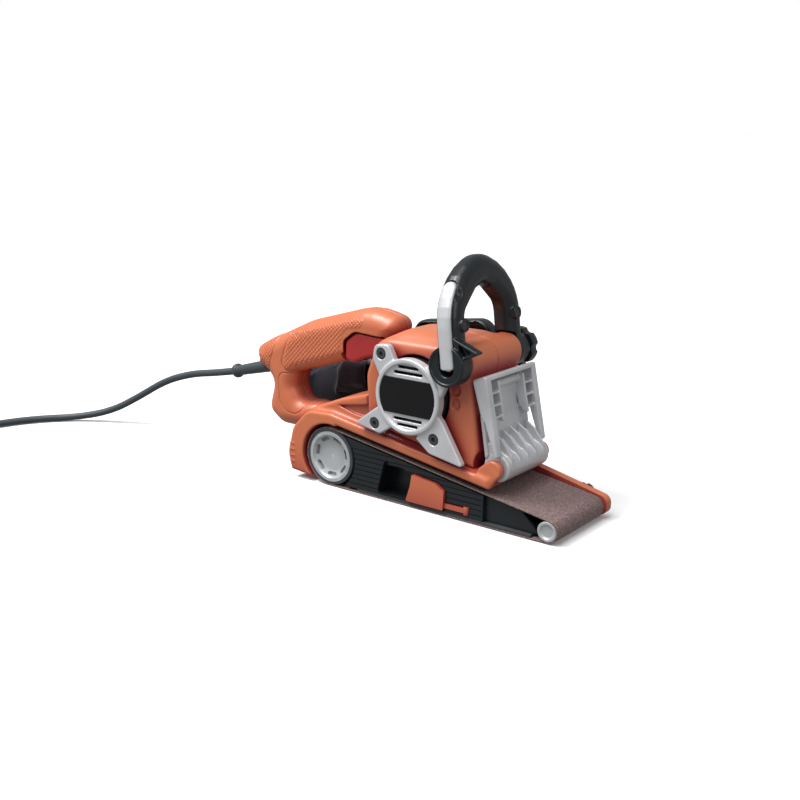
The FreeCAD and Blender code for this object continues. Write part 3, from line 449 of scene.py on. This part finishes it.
def make_housing():
    """Two halves of the orange motor housing, with the handle's cross tube at the top front."""
    grid = Grid((-72, -37, 40), (45, 37, 147), 0.75)
    side = prism(grid, BODY_SIDE, -36, 36, 5.0)
    front = outline(grid.y, grid.z, BODY_FRONT)
    solid = both(side, front, 5.0)
    solid = join(solid, disc(grid, PIVOT, 15, -36, 36, 1.2), 2.5)
    for height in (93.0, 104.0):
        solid = carve(solid, disc(grid, (19.6, height), 4.4, -40, -33.4), 1.4)
    under = [(-75, 62), (-67.9, 87.4), (-67, 87), (-66.5, 64.6), (46.5, 42.6), (80, 42), (80, 0), (-75, 0)]
    solid = carve(solid, outline(grid.x, grid.z, under))
    solid = carve(solid, disc(grid, HINGE, 19, -40, 40))
    solid = carve(solid, disc(grid, MOTOR, 32, -50, -20), 1.0)
    solid = carve(solid, disc(grid, MOTOR, 12, 20, 50))
    for screw in CAP_SCREWS:
        solid = carve(solid, disc(grid, screw, 2.3, -50, -30))
    solid = carve(solid, disc(grid, PIVOT, 4.3, -60, 60))
    hollow = both(solid, -(solid + HOUSING_WALL))
    for name, part in (("right", grid.y + HOUSING_SEAM), ("left", HOUSING_SEAM - grid.y)):
        mesh = mesh_of("shell_" + name, grid, both(hollow, part))
        piece("shell_" + name, mesh, "housing", "orange_plastic", replaces=["housing_" + name])


# ---------------------------------------------------------------- base frame
ARCH_BACK = [(-149.5, 6.6, 2), (-153.4, 22, 14), (-147.5, 46, 16), (-130, 64, 16)]


def make_base():
    """Orange base: side skirts over the belt, wheel arch, deck and the guard's hinge lugs."""
    grid = Grid((-155, -41, 0), (70, 44, 92), 0.85)
    skirt_line = ARCH_BACK + [
        (-104, 65.2, 18), (-84, belt_top(-84) + 13, 8), (55.4, belt_top(55.4) + 13, 2),
        (55.4, belt_top(55.4) + 4.6, 1), (-98, belt_top(-98) + 4.6, 1), (-100, 40), (-124, 20), (-124.5, 4.6)]
    skirt = prism(grid, skirt_line, -40, 42.4, 2.6)
    deck = prism(grid, [(-140, 50), (-128, 66, 20), (-96, 79, 30), (-68, 87), (-67, 64), (46, 42),
                        (46, belt_top(46) + 4.6), (-96, belt_top(-96) + 4.6)], -33, 33, 3.0)
    base = join(skirt, deck, 5.0)
    base = carve(base, disc(grid, WHEEL, 29.4, -45, 38.8), 1.0)
    base = carve(base, block(grid, (-152, 60), (-37.5, 38.8), (-5, 4.4)))
    wall = prism(grid, ARCH_BACK + [(30, 36), (30, 2.4), (-140, 2.4, 8)], 38.6, 42.4, 1.0)
    base = join(base, wall)
    base = join(base, disc(grid, WHEEL, 17, 20, 41))
    lug = [(44, 38), (56, 34, 1), (64, 44), (52, 53), (44, 46)]
    for low in (-38, 32):
        ear = join(disc(grid, HINGE, 7.5, low, low + 6, 1.2), prism(grid, lug, low, low + 6, 1.2), 1.0)
        base = join(base, ear, 4.0)
    base = carve(base, disc(grid, WHEEL, 14, 21, 50))
    base = carve(base, disc(grid, WHEEL, 9, 10, 30))
    base = carve(base, disc(grid, HINGE, 13, -31.5, 31.5))
    base = carve(base, prism(grid, [(-100, 72), (-64, 78), (-62, 65), (-84, 67.5)], -37, -30), 1.2)
    for i in range(4):
        low = 14 + 5.5 * i
        bar = block(grid, (-150.5, -144.5), (-40.6, -39), (low, 15.4 + 5.5 * i), 0.4)
        base = join(base, bar, 0.3)
    mesh = mesh_of("base_shell", grid, base)
    piece("base_shell", mesh, "housing", "orange_plastic", replaces=["base_frame"])


# ---------------------------------------------------------------- rear handle
GRIP_SIDE = [
    (-48, 146.4, 10), (-84, 155.5, 60), (-152, 136, 60), (-204, 112, 12), (-220, 103, 6), (-217, 88, 6),
    (-206, 84, 6), (-197.5, 74, 10), (-205.5, 47, 12), (-187, 35.4, 16), (-150, 36), (-140, 50.4),
    (-128, 66.4), (-96, 79.4, 30), (-70.4, 87.2), (-70.4, 104, 20), (-62, 125), (-56, 132)]
GRIP_HOLE = [(-168, 87, 8), (-171, 74, 8), (-164, 61, 8), (-142, 62, 8), (-96, 80.4), (-71, 88),
             (-71, 115.5, 10), (-90, 112), (-127, 99.8)]
GRIP_PANEL = [(-62, 139, 8), (-86, 149, 40), (-150, 131, 60), (-171, 126, 6), (-184, 88, 8), (-162, 88, 12),
              (-140, 98, 30), (-112, 111, 14), (-106, 134, 8)]
GRIP_TAIL = [(-187, 126), (-193, 102, 20), (-200, 84), (-230, 80), (-230, 126)]
TRIGGER_ROOM = [(-111.5, 96), (-111.5, 128, 6), (-100, 133.8, 6), (-64, 132.6, 3), (-64, 105)]
TRIGGER_WINDOW = [(-108.4, 96), (-108.4, 124.4, 6.8), (-96.2, 133.8, 10.8), (-66, 131.9, 4.8), (-64, 105)]
GRIP_LEG = [(-186, 86, 8), (-160, 86, 10), (-155, 62, 12), (-160, 48, 12), (-184, 52, 14)]


def diamonds(grid, pitch):
    """Small raised diamonds, laid diagonally along the grip and round its crown; 1 at their middles."""
    rate = math.pi / pitch
    around = grid.z - np.abs(grid.y)
    rising = np.abs(np.sin((grid.x + around) * math.sqrt(0.5) * rate))
    falling = np.abs(np.sin((grid.x - around) * math.sqrt(0.5) * rate))
    return np.minimum(1.0, 1.7 * rising * falling)


def make_rear_handle():
    """D-handle in two halves: diamond grip, grooves, and rooms for its trigger and sleeve."""
    grid = Grid((-222, -18, 33), (-44, 18, 157), 0.62)
    narrowing = 1 - 0.26 * np.clip((-176 - grid.x) / 44, 0, 1) ** 1.5
    solid = capped(outline(grid.x, grid.z, GRIP_SIDE), slab(grid.y / narrowing, -17, 17), 14.0)
    solid = capped(solid, -prism(grid, GRIP_HOLE, -60, 60), 12.0)
    panel = join(outline(grid.x, grid.z, GRIP_PANEL), outline(grid.x, grid.z, GRIP_TAIL))
    skin = solid
    solid = solid - 0.85 * diamonds(grid, 2.9) * np.clip(-0.4 * panel - 0.3, 0, 1)
    seam = both(both(slab(panel, -0.5, 0.5), -(skin + 0.7)), grid.x + 166)
    leg_panel = outline(grid.x, grid.z, GRIP_LEG)
    seam = join(seam, both(slab(leg_panel, -0.4, 0.4), -(skin + 0.7)))
    solid = carve(solid, seam, 0.3)
    solid = carve(solid, prism(grid, TRIGGER_ROOM, -15.8, 15.8))
    solid = carve(solid, prism(grid, TRIGGER_WINDOW, -30, 30), 0.6)
    across = (-(grid.x - CORD_EXIT[0]) * math.sin(SLEEVE_LEAN)
              + (grid.z - CORD_EXIT[2]) * math.cos(SLEEVE_LEAN))
    solid = carve(solid, both(np.hypot(across, grid.y) - 6.3, grid.x + 196))
    solid = carve(solid, disc(grid, (-88, 141), 4.3, 5, 20))
    under = ARCH_BACK + [(-104, 66), (-68, 87), (-60, 60), (-60, 0), (-149, 0)]
    solid = carve(solid, outline(grid.x, grid.z, under))
    for name, part in (("right", grid.y + 0.1), ("left", 0.1 - grid.y)):
        mesh = mesh_of("grip_" + name, grid, both(solid, part))
        piece("grip_" + name, mesh, "housing", "orange_plastic", replaces=["handle_" + name])


def make_trigger():
    """Red trigger, filling the front of the grip."""
    grid = Grid((-109, -16, 104), (-65, 16, 135), 0.5)
    shape = [(-107.6, 108, 4), (-107.6, 124, 6), (-96, 133, 10), (-65.5, 131.2, 2), (-69, 116, 4),
             (-85, 112, 6), (-99, 105.6, 3)]
    mesh = mesh_of("trigger_cap", grid, prism(grid, shape, -15.5, 15.5, 3.0))
    piece("trigger_cap", mesh, "trigger", "red_plastic", replaces=["trigger"])


# ---------------------------------------------------------------- front handle
HANDLE_OUTSIDE = [(-50, -2), (-50, 45.5, 46), (-28.5, 73, 60), (0, 82.5, 30), (28.5, 73, 60), (50, 45.5, 46),
                  (50, -2)]
HANDLE_INSIDE = [(30.5, -2), (30.5, 38, 14), (12, 54, 8), (0, 58, 10), (-12, 54, 8), (-30.5, 38, 14),
                 (-30.5, -2)]


def make_front_handle():
    """Arched front handle, built upright on its pivot and then leaned back."""
    grid = Grid((-18, -54, -18), (32, 54, 82), 0.7)
    arch = capped(outline(grid.y, grid.z, HANDLE_OUTSIDE + HANDLE_INSIDE), slab(grid.x, -10, 10), 8.5)
    body = join(arch, disc(grid, (0, 0), 16, -52, -37.6, 1.2), 2.0)
    body = join(body, disc(grid, (0, 0), 14, 37.6, 51, 1.2), 2.0)
    lug = carve(prism(grid, [(10, 3), (29.5, 9.5, 1), (6, 22)], -49, -41, 0.8),
                prism(grid, [(12, 6.5), (24, 9.8, 1), (11, 16.5)], -52, -43), 0.4)
    body = join(body, lug, 1.0)
    body = carve(body, disc(grid, (0, 0), 16.6, -37.6, 37.6))
    body = carve(body, disc(grid, (0, 0), 4.2, -49, 60))
    body = carve(body, disc(grid, (0, 0), 13.4, -60, -51.0, 0.2), 0.5)
    for side in (-38, 38):
        boss = both(np.hypot(grid.y - side, grid.z - 30) - 5.4, slab(grid.x, 2, 12.4), 0.6)
        body = join(body, boss, 1.5)
        body = carve(body, both(np.hypot(grid.y - side, grid.z - 30) - 3.3, 10 - grid.x), 0.3)
    thumb = np.sqrt((grid.x - 12) ** 2 + (grid.y + 41) ** 2 + (grid.z - 55) ** 2) - 6.5
    body = carve(body, thumb, 1.5)
    strip = both(np.hypot(grid.x, grid.z - np.clip(grid.z, -1.5, 57)) - 6.2, grid.y + 21, 0.5)
    recess = both(strip - 0.5, -(arch + 1.3))
    body = carve(body, recess, 0.3)
    inlay = both(both(arch - 1.0, -(arch + 1.2)), strip, 1.2)
    lean = Matrix.Translation((PIVOT[0] * MM, 0, PIVOT[1] * MM)) @ Matrix.Rotation(-HANDLE_LEAN, 4, "Y")
    piece("front_arch", mesh_of("front_arch", grid, body), "front_handle", "black_plastic",
          replaces=["front_handle"], place=lean)
    piece("arch_inlay", mesh_of("arch_inlay", grid, inlay), "front_handle", "silver_plastic",
          replaces=["handle_inlay"], place=lean)


# ---------------------------------------------------------------- belt guard
GUARD_WINDOWS = [(105.5, 7.0), (96.0, 7.2), (87.0, 6.4)]


def make_guard():
    """Silver guard in its raised place: a shallow tray with side windows over a ribbed hinge barrel."""
    grid = Grid((34, -38, 35), (70, 38, 121), 0.5)
    side = [(36.2, 115, 2), (48.3, 119.6, 2), (61.2, 57.2, 2), (58.2, 56.4, 1), (48.5, 83, 3), (45, 87, 3)]
    walls = prism(grid, side, -37, 37, 1.2)
    walls = carve(walls, prism(grid, [(39.5, 113), (52, 116), (70, 116), (70, 40), (49.5, 40)], -30, 30), 0.8)
    walls = carve(walls, prism(grid, [(30, 112.4), (36.6, 112.4), (47.2, 52), (30, 52)], -34, 34), 0.5)
    floor = prism(grid, [(36.6, 113.6, 1), (39.4, 114, 1), (50, 57), (47.2, 52, 1)], -32, 32, 0.6)
    floor = join(floor, disc(grid, (42.2, 108.5), 3.4, -18, 18, 1.2), 1.5)
    for middle in (-26, 26):
        for height, tall in GUARD_WINDOWS:
            window = block(grid, (30, 60), (middle - 7.2, middle + 7.2), (height, height + tall), 1.2)
            floor = carve(floor, window, 0.5)
            rim = 50.0 - (height - 107.5) * 0.208
            bar = block(grid, (rim - 11, rim - 1), (middle - 8, middle + 8), (height - 2.0, height - 0.2), 0.4)
            floor = join(floor, bar, 0.6)
        wall = both(slab(grid.y, middle * 0.7 - 1, middle * 0.7 + 1), slab(grid.z, 82, 113), 0.5)
        floor = join(floor, both(wall, prism(grid, side, -37, 37) + 1.0), 0.6)
    barrel = disc(grid, HINGE, 11, -30.6, 30.6, 1.0)
    neck = prism(grid, [(46, 47), (47, 66), (51, 66), (60, 56), (60, 47)], -30.6, 30.6, 0.8)
    body = join(join(walls, floor, 0.8), join(barrel, neck, 2.0), 1.0)
    rib = [(49, 74), (57, 69, 4), (67, 57, 8), (68, 44, 6), (60, 37), (52, 52)]
    near_barrel = np.hypot(grid.x - HINGE[0], grid.z - HINGE[1]) - 12.4
    room = join(near_barrel, block(grid, (44, 80), (-31, 31), (50, 90)))
    for middle in (-24, -12, 0, 12, 24):
        body = join(body, both(prism(grid, rib, middle - 1.0, middle + 1.0, 0.5), room), 0.8)
    body = carve(body, disc(grid, HINGE, 2.6, -50, 50))
    mesh = mesh_of("guard_tray", grid, body)
    piece("guard_tray", mesh, "belt_guard", "silver_plastic", replaces=["belt_guard"])


# ---------------------------------------------------------------- motor cap
def make_motor_cap():
    """Silver end cap: a dished ring with vents, on four arms, three of them screwed."""
    grid = Grid((-74, -49, 44), (38, -38, 138), 0.5)
    ring = disc(grid, MOTOR, 31, -48, -39, 1.6)
    ring = carve(ring, disc(grid, MOTOR, 27, -60, -46, 0.2), 0.6)
    arms = [
        [(-72.3, 64.2, 1.5), (-46, 59.3, 4), (-34, 67), (-40, 88), (-56, 76.5, 6)],
        [(-10, 62), (3, 51.8, 4), (35.2, 46.2, 1.5), (14.5, 80, 8), (6, 88)],
        [(-44, 103), (-54, 121, 6), (-52, 133, 5), (-38, 134.5, 5), (-30, 119)],
        [(-4, 118), (8, 131, 3), (24, 124, 3), (14, 100), (8, 96)]]
    cap = ring
    for arm in arms:
        cap = join(cap, prism(grid, arm, -45.5, -39, 1.4), 1.5)
    cap = carve(cap, disc(grid, MOTOR, 28, -43.5, -30))
    for reach, half in ((18.9, 14.0), (23.6, 10.0)):
        for height in (MOTOR[1] - reach, MOTOR[1] + reach):
            slot = block(grid, (MOTOR[0] - half, MOTOR[0] + half), (-60, -41),
                         (height - 1.2, height + 1.2), 0.8)
            cap = carve(cap, slot, 0.6)
    for screw in CAP_SCREWS:
        cap = carve(cap, disc(grid, screw, 2.2, -60, -30))
        cap = carve(cap, disc(grid, screw, 4.7, -60, -42.5), 0.5)
    cap = carve(cap, disc(grid, PIVOT, 16.7, -60, -30))
    piece("cap_ring", mesh_of("cap_ring", grid, cap), "housing", "silver_plastic", replaces=["motor_cap"])


# ---------------------------------------------------------------- drive cover
def make_drive_cover():
    """Black cover of the belt drive, with a raised panel, vents and a fairing under the duct."""
    def line(inset):
        """The cover's outline, moved inwards."""
        return [(-130.6 + inset, 1.6 + inset, 23.5 - inset), (-131 + inset, 56, 20),
                (-73 + inset, 138 - inset, 12 - inset), (-2 - inset, 146.5 - inset, 14 - inset),
                (3.4 - inset, 122, 16), (10 - inset, 62, 16), (-80, 1.6 + inset, 20)]

    grid = Grid((-132, 42, 1), (11, 59, 147), 0.8)
    cover = prism(grid, line(0.0), 42.6, 58, 4.5)
    cover = join(cover, prism(grid, [(-131, 40), (-131, 70, 3), (-92, 108), (-84, 60)], 42.6, 57, 3.0), 2.0)
    cover = join(cover, prism(grid, line(16.0), 50, 57.9, 1.0), 1.5)
    cover = carve(cover, prism(grid, line(2.4), 30, 55.6), 0.5)
    cover = carve(cover, both(from_duct(grid) - 16, grid.x + 92))
    for i in range(5):
        middle = 76.0 + 9.0 * i
        cover = carve(cover, block(grid, (-58, -14), (56.9, 62), (middle, middle + 2.4), 0.6), 0.4)
    mesh = mesh_of("drive_case", grid, cover)
    piece("drive_case", mesh, "housing", "black_plastic", replaces=["drive_cover"])


# ---------------------------------------------------------------- dust bag
BAG_SIDE = [(-206, 42, 14), (-157, 39, 8), (-153, 60, 6), (-137, 64, 4), (-137, 93, 8), (-166, 96, 26),
            (-206, 80, 18)]
BAG_LOW = 27.0
BAG_HIGH = 76.0
BAG_MIDDLE = (-172.0, 68.0)
BAG_HELD_FROM = -0.147    # in metres: forward of this the cloth is held by the collar
CLOTH_FRAMES = 20
CLOTH_REACH = 0.006       # in metres: the most that a point may move


def inflate(bag):
    """Blow the cut-out sack up as cloth, held at its collar, and keep what the cloth did."""
    held = bag.vertex_groups.new(name="held")
    held.add([v.index for v in bag.data.vertices if v.co.x > BAG_HELD_FROM], 1.0, "REPLACE")
    cloth = bag.modifiers.new("cloth", "CLOTH")
    cloth.settings.quality = 6
    cloth.settings.mass = 0.2
    cloth.settings.vertex_group_mass = "held"
    cloth.settings.use_pressure = True
    cloth.settings.uniform_pressure_force = 4.0
    cloth.settings.shrink_min = -0.07
    cloth.settings.tension_stiffness = 12.0
    cloth.settings.bending_stiffness = 0.12
    cloth.settings.effector_weights.gravity = 0.0
    scene = bpy.context.scene
    for number in range(1, CLOTH_FRAMES + 1):
        scene.frame_set(number)
    posed = bag.evaluated_get(bpy.context.evaluated_depsgraph_get()).to_mesh()
    moved = [v.co.copy() for v in posed.vertices]
    bag.modifiers.remove(cloth)
    bag.vertex_groups.clear()
    scene.frame_set(1)
    for vertex, place in zip(bag.data.vertices, moved):
        shift = place - vertex.co
        if shift.length > CLOTH_REACH:
            shift = shift.normalized() * CLOTH_REACH
        vertex.co += shift


def make_bag():
    """Cloth dust bag: a sewn sack with piped edges, pushed over the duct by its collar."""
    grid = Grid((-208, 24, 36), (-115, 79, 99), 4.0)
    sack = prism(grid, BAG_SIDE, BAG_LOW, BAG_HIGH, 11.0)
    sack = join(sack, block(grid, (-154, -121), (25, 40), (72, 96), 5.0), 6.0)
    sack = join(sack, block(grid, (-152, -116), (33.8, 41.2), (67.5, 96), 2.0), 3.0)
    sack = carve(sack, both(from_duct(grid) - 18.9, -154 - grid.x))
    mesh = mesh_of("dust_sack", grid, sack)
    bag = bpy.data.objects.new("dust_sack", mesh)
    bpy.context.scene.collection.objects.link(bag)
    inflate(bag)
    edges = [piping(bag, name, across) for name, across in (("near", BAG_LOW + 3), ("far", BAG_HIGH - 3))]
    mesh.materials.append(PAINTS["bag_cloth"].material)
    finer = bag.modifiers.new("finer", "SUBSURF")
    finer.levels = 2
    finer.render_levels = 2
    for thing in (bag, *edges):
        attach(thing, "dust_bag")
    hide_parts("dust_bag")


def tube(name, points, radius, closed=False):
    """Round cord through points in metres."""
    data = bpy.data.curves.new(name, "CURVE")
    data.dimensions = "3D"
    data.bevel_depth = radius
    data.bevel_resolution = 4
    data.use_fill_caps = True
    spline = data.splines.new("NURBS")
    spline.points.add(len(points) - 1)
    for control, place in zip(spline.points, points):
        control.co = (*place, 1)
    spline.order_u = 3
    spline.use_cyclic_u = closed
    spline.use_endpoint_u = not closed
    thing = bpy.data.objects.new(name, data)
    bpy.context.scene.collection.objects.link(thing)
    return thing


def piping(bag, name, across):
    """Welted seam that follows the bag's own surface along one of its side edges."""
    line = rounded(BAG_SIDE)
    centre = Vector(BAG_MIDDLE)
    points = []
    for start, end in zip(line, line[1:] + line[:1]):
        for share in (0.0, 0.5):
            flat = start.lerp(end, share)
            # The seam stops where the collar is.
            if flat.x > -156 and flat.y > 64:
                continue
            out = flat + (flat - centre).normalized() * 14
            _, place, normal, _ = bag.closest_point_on_mesh(Vector((out.x, across, out.y)) * MM)
            points.append(place + normal * 0.0002)
    welt = tube("bag_welt_" + name, points, 0.0011)
    welt.data.materials.append(PAINTS["bag_cloth"].material)
    return welt


# ---------------------------------------------------------------- mains cord
CORD_RADIUS = 3.5
CORD_LOW = CORD_RADIUS + 0.1
CORD_ROUTE = [
    CORD_EXIT, (-282, -1, 68.2), (-317, -3, 62.5), (-353, -7, 50.5), (-386, -15, 30), (-417, -27, 12),
    (-450, -46, 3.6), (-478, -78, 3.6), (-494, -118, 3.6), (-500.6, -162, 3.6), (-500.5, -205, 3.6)]
COIL = (-452.0, -220.0)
COIL_OUTER = 48.5
COIL_INNER = 26.9
COIL_TURNS = 3
COIL_LIFT = 7.1           # from the lower turns to the upper ones
TURN_STEPS = 18


def coil_points():
    """Three turns in on the floor, a step up, three turns out on top, then over into the plug."""
    points = []

    def add(angle, radius, height):
        """One more point, round the coil's middle."""
        points.append((COIL[0] + radius * math.cos(angle), COIL[1] + radius * math.sin(angle), height))

    steps = COIL_TURNS * TURN_STEPS
    for i in range(1, steps + 1):
        add(math.pi + math.tau * i / TURN_STEPS, COIL_OUTER + (COIL_INNER - COIL_OUTER) * i / steps,
            CORD_LOW)
    quarter = TURN_STEPS // 4
    for i in range(1, quarter + 1):
        add(math.pi + math.pi / 2 * i / quarter, COIL_INNER, CORD_LOW + COIL_LIFT * i / quarter)
    for i in range(1, steps + 1):
        add(1.5 * math.pi + math.tau * i / TURN_STEPS, COIL_INNER + (COIL_OUTER - COIL_INNER) * i / steps,
            CORD_LOW + COIL_LIFT)
    points += [(-436, -269, 11.5), (-421, -266.5, 14), (-408, -258, 17.5), (-401.5, -243, 21),
               (-402, -226, 23.5), (-410, -213, 24.6), (-424, -209.5, 24.8)]
    return points


def make_cord():
    """Mains cord with its coil and plug."""
    route = [Vector(place) * MM for place in CORD_ROUTE + coil_points()]
    cord = tube("mains_cord", route, CORD_RADIUS * MM)
    cord.data.resolution_u = 6
    cord.data.materials.append(PAINTS["rubber"].material)
    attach(cord, "housing")
    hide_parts("cord_tube", "cord_coil")
    grid = Grid((-476, -222, 13), (-423, -198, 37), 0.5)
    outline_of_plug = [(-474, 14.2, 5), (-430, 14.2, 5), (-424, 18), (-424, 31), (-430, 35.4, 5),
                       (-474, 35.4, 5)]
    plug = prism(grid, outline_of_plug, -220, -199, 4.0)
    for i in range(5):
        middle = -462.0 + 5.0 * i
        groove = both(slab(grid.x, middle - 0.8, middle + 0.8), -(plug + 0.8))
        plug = carve(plug, groove, 0.5)
    mesh = mesh_of("plug_shell", grid, plug)
    plug_piece = piece("plug_shell", mesh, "housing", "rubber", replaces=["plug_body"])


SLEEVE_LENGTH = 54.0
SLEEVE_FLANGE = 6.0
SLEEVE_RINGS = 110
SLEEVE_SIDES = 40


def sleeve_radius(reach):
    """The sleeve's radius at a distance from its free end: a round flange, then a slow taper."""
    if reach < SLEEVE_FLANGE:
        half = SLEEVE_FLANGE / 2
        return 5.0 + 1.8 * math.sqrt(max(0.0, 1 - (abs(reach - half) / half) ** 3))
    return 4.9 + 1.2 * (reach - SLEEVE_FLANGE) / (SLEEVE_LENGTH - SLEEVE_FLANGE)


def make_sleeve():
    """Smooth tapered strain relief, thicker towards the handle, with a flange at its free end."""
    along = Vector((math.cos(SLEEVE_LEAN), 0, math.sin(SLEEVE_LEAN)))
    up = Vector((-math.sin(SLEEVE_LEAN), 0, math.cos(SLEEVE_LEAN)))
    side = Vector((0, 1, 0))
    shape = bmesh.new()
    rings = []
    for i in range(SLEEVE_RINGS + 1):
        reach = SLEEVE_LENGTH * i / SLEEVE_RINGS
        radius = sleeve_radius(reach)
        centre = Vector(CORD_EXIT) + along * reach
        ring = []
        for k in range(SLEEVE_SIDES):
            turn = math.tau * k / SLEEVE_SIDES
            ring.append(shape.verts.new((centre + up * radius * math.cos(turn)
                                         + side * radius * math.sin(turn)) * MM))
        rings.append(ring)
    for low, high in zip(rings, rings[1:]):
        for k in range(SLEEVE_SIDES):
            after = (k + 1) % SLEEVE_SIDES
            shape.faces.new((low[k], low[after], high[after], high[k]))
    shape.faces.new(rings[0][::-1])
    shape.faces.new(rings[-1])
    bmesh.ops.recalc_face_normals(shape, faces=shape.faces)
    mesh = bpy.data.meshes.new("strain_relief")
    shape.to_mesh(mesh)
    shape.free()
    mesh.shade_smooth()
    piece("strain_relief", mesh, "housing", "rubber", replaces=["cord_sleeve"])


# ---------------------------------------------------------------- carried-over parts
# Widths of the broken edges, in metres.
EDGE_WIDTH = 0.00025
EDGE_WIDTHS = {"side_rail": 0.0016, "tension_lever": 0.0006, "yoke": 0.0006, "handle_knob": 0.0018,
               "tracking_knob": 0.0008, "drive_wheel": 0.0005}


def dress_cad_nodes():
    """Every CAD node that still shows gets its slot's paint and slightly broken edges."""
    slots = {row["node"]: row["material_slot"] for row in frame["record"]["subparts"]}
    special = {"cap_label": PAINTS["gloss_black"], "cap_screws": PAINTS["graphite"],
               "handle_screws": PAINTS["graphite"], "lever_pin": PAINTS["black_plastic"],
               "platen": PAINTS["graphite"]}
    for name, thing in frame["nodes"].items():
        if thing.hide_render:
            continue
        paint = special.get(name, PAINTS[slots[name]])
        thing.data.materials.clear()
        thing.data.materials.append(paint.material)
        weld = thing.modifiers.new("weld", "WELD")
        weld.merge_threshold = 0.00001
        soften = thing.modifiers.new("edges", "BEVEL")
        soften.width = EDGE_WIDTHS.get(name, EDGE_WIDTH)
        soften.segments = 2
        soften.limit_method = "ANGLE"
        soften.angle_limit = math.radians(40)
        soften.harden_normals = True


# ---------------------------------------------------------------- studio
SKY = 0.38             # the sky's strength on the object; the camera sees it at 1
FLOOR_HALF = 60        # in metres


def make_studio():
    """Pale floor under a broad high key light, a fill for the nose, a strip light and a weak even sky."""
    floor_mesh = bpy.data.meshes.new("floor")
    corners = [(FLOOR_HALF * x, FLOOR_HALF * y, 0) for x, y in ((-1, -1), (1, -1), (1, 1), (-1, 1))]
    floor_mesh.from_pydata(corners, [], [(0, 1, 2, 3)])
    floor = bpy.data.objects.new("floor", floor_mesh)
    floor.location.z = -0.0004
    floor.visible_diffuse = False
    floor.visible_glossy = False
    bpy.context.scene.collection.objects.link(floor)
    floor_mesh.materials.append(Paint("floor_paint", (0.90, 0.90, 0.90), 0.8).material)
    world = bpy.data.worlds.new("studio")
    world.use_nodes = True
    nodes = world.node_tree.nodes
    nodes["Background"].inputs["Color"].default_value = (1.0, 1.0, 1.0, 1)
    seen = nodes.new("ShaderNodeLightPath").outputs["Is Camera Ray"]
    brighter = nodes.new("ShaderNodeMath")
    brighter.operation = "MAXIMUM"
    brighter.inputs[1].default_value = SKY
    world.node_tree.links.new(seen, brighter.inputs[0])
    world.node_tree.links.new(brighter.outputs["Value"], nodes["Background"].inputs["Strength"])
    bpy.context.scene.world = world
    key = bpy.data.lights.new("key", "SUN")
    key.energy = 2.8
    key.angle = math.radians(55)
    front = bpy.data.lights.new("front", "AREA")
    front.energy = 6
    front.size = 0.9
    strip = bpy.data.lights.new("strip", "AREA")
    strip.energy = 15
    strip.size = 0.35
    for lamp, place in ((key, (-0.45, -0.85, 1.9)), (front, (1.5, -0.6, 1.0)), (strip, (-0.7, -0.5, 1.4))):
        light = bpy.data.objects.new(lamp.name, lamp)
        light.location = place
        light.rotation_mode = "QUATERNION"
        light.rotation_quaternion = (Vector((0, 0, 0.08)) - Vector(place)).to_track_quat("-Z", "Y")
        bpy.context.scene.collection.objects.link(light)
    bpy.context.scene.view_settings.view_transform = "Standard"


make_camera()
PAINTS = make_paints()
make_cord()
make_sleeve()
make_housing()
make_base()
make_rear_handle()
make_trigger()
make_front_handle()
make_guard()
make_motor_cap()
make_drive_cover()
make_bag()
dress_cad_nodes()
make_studio()
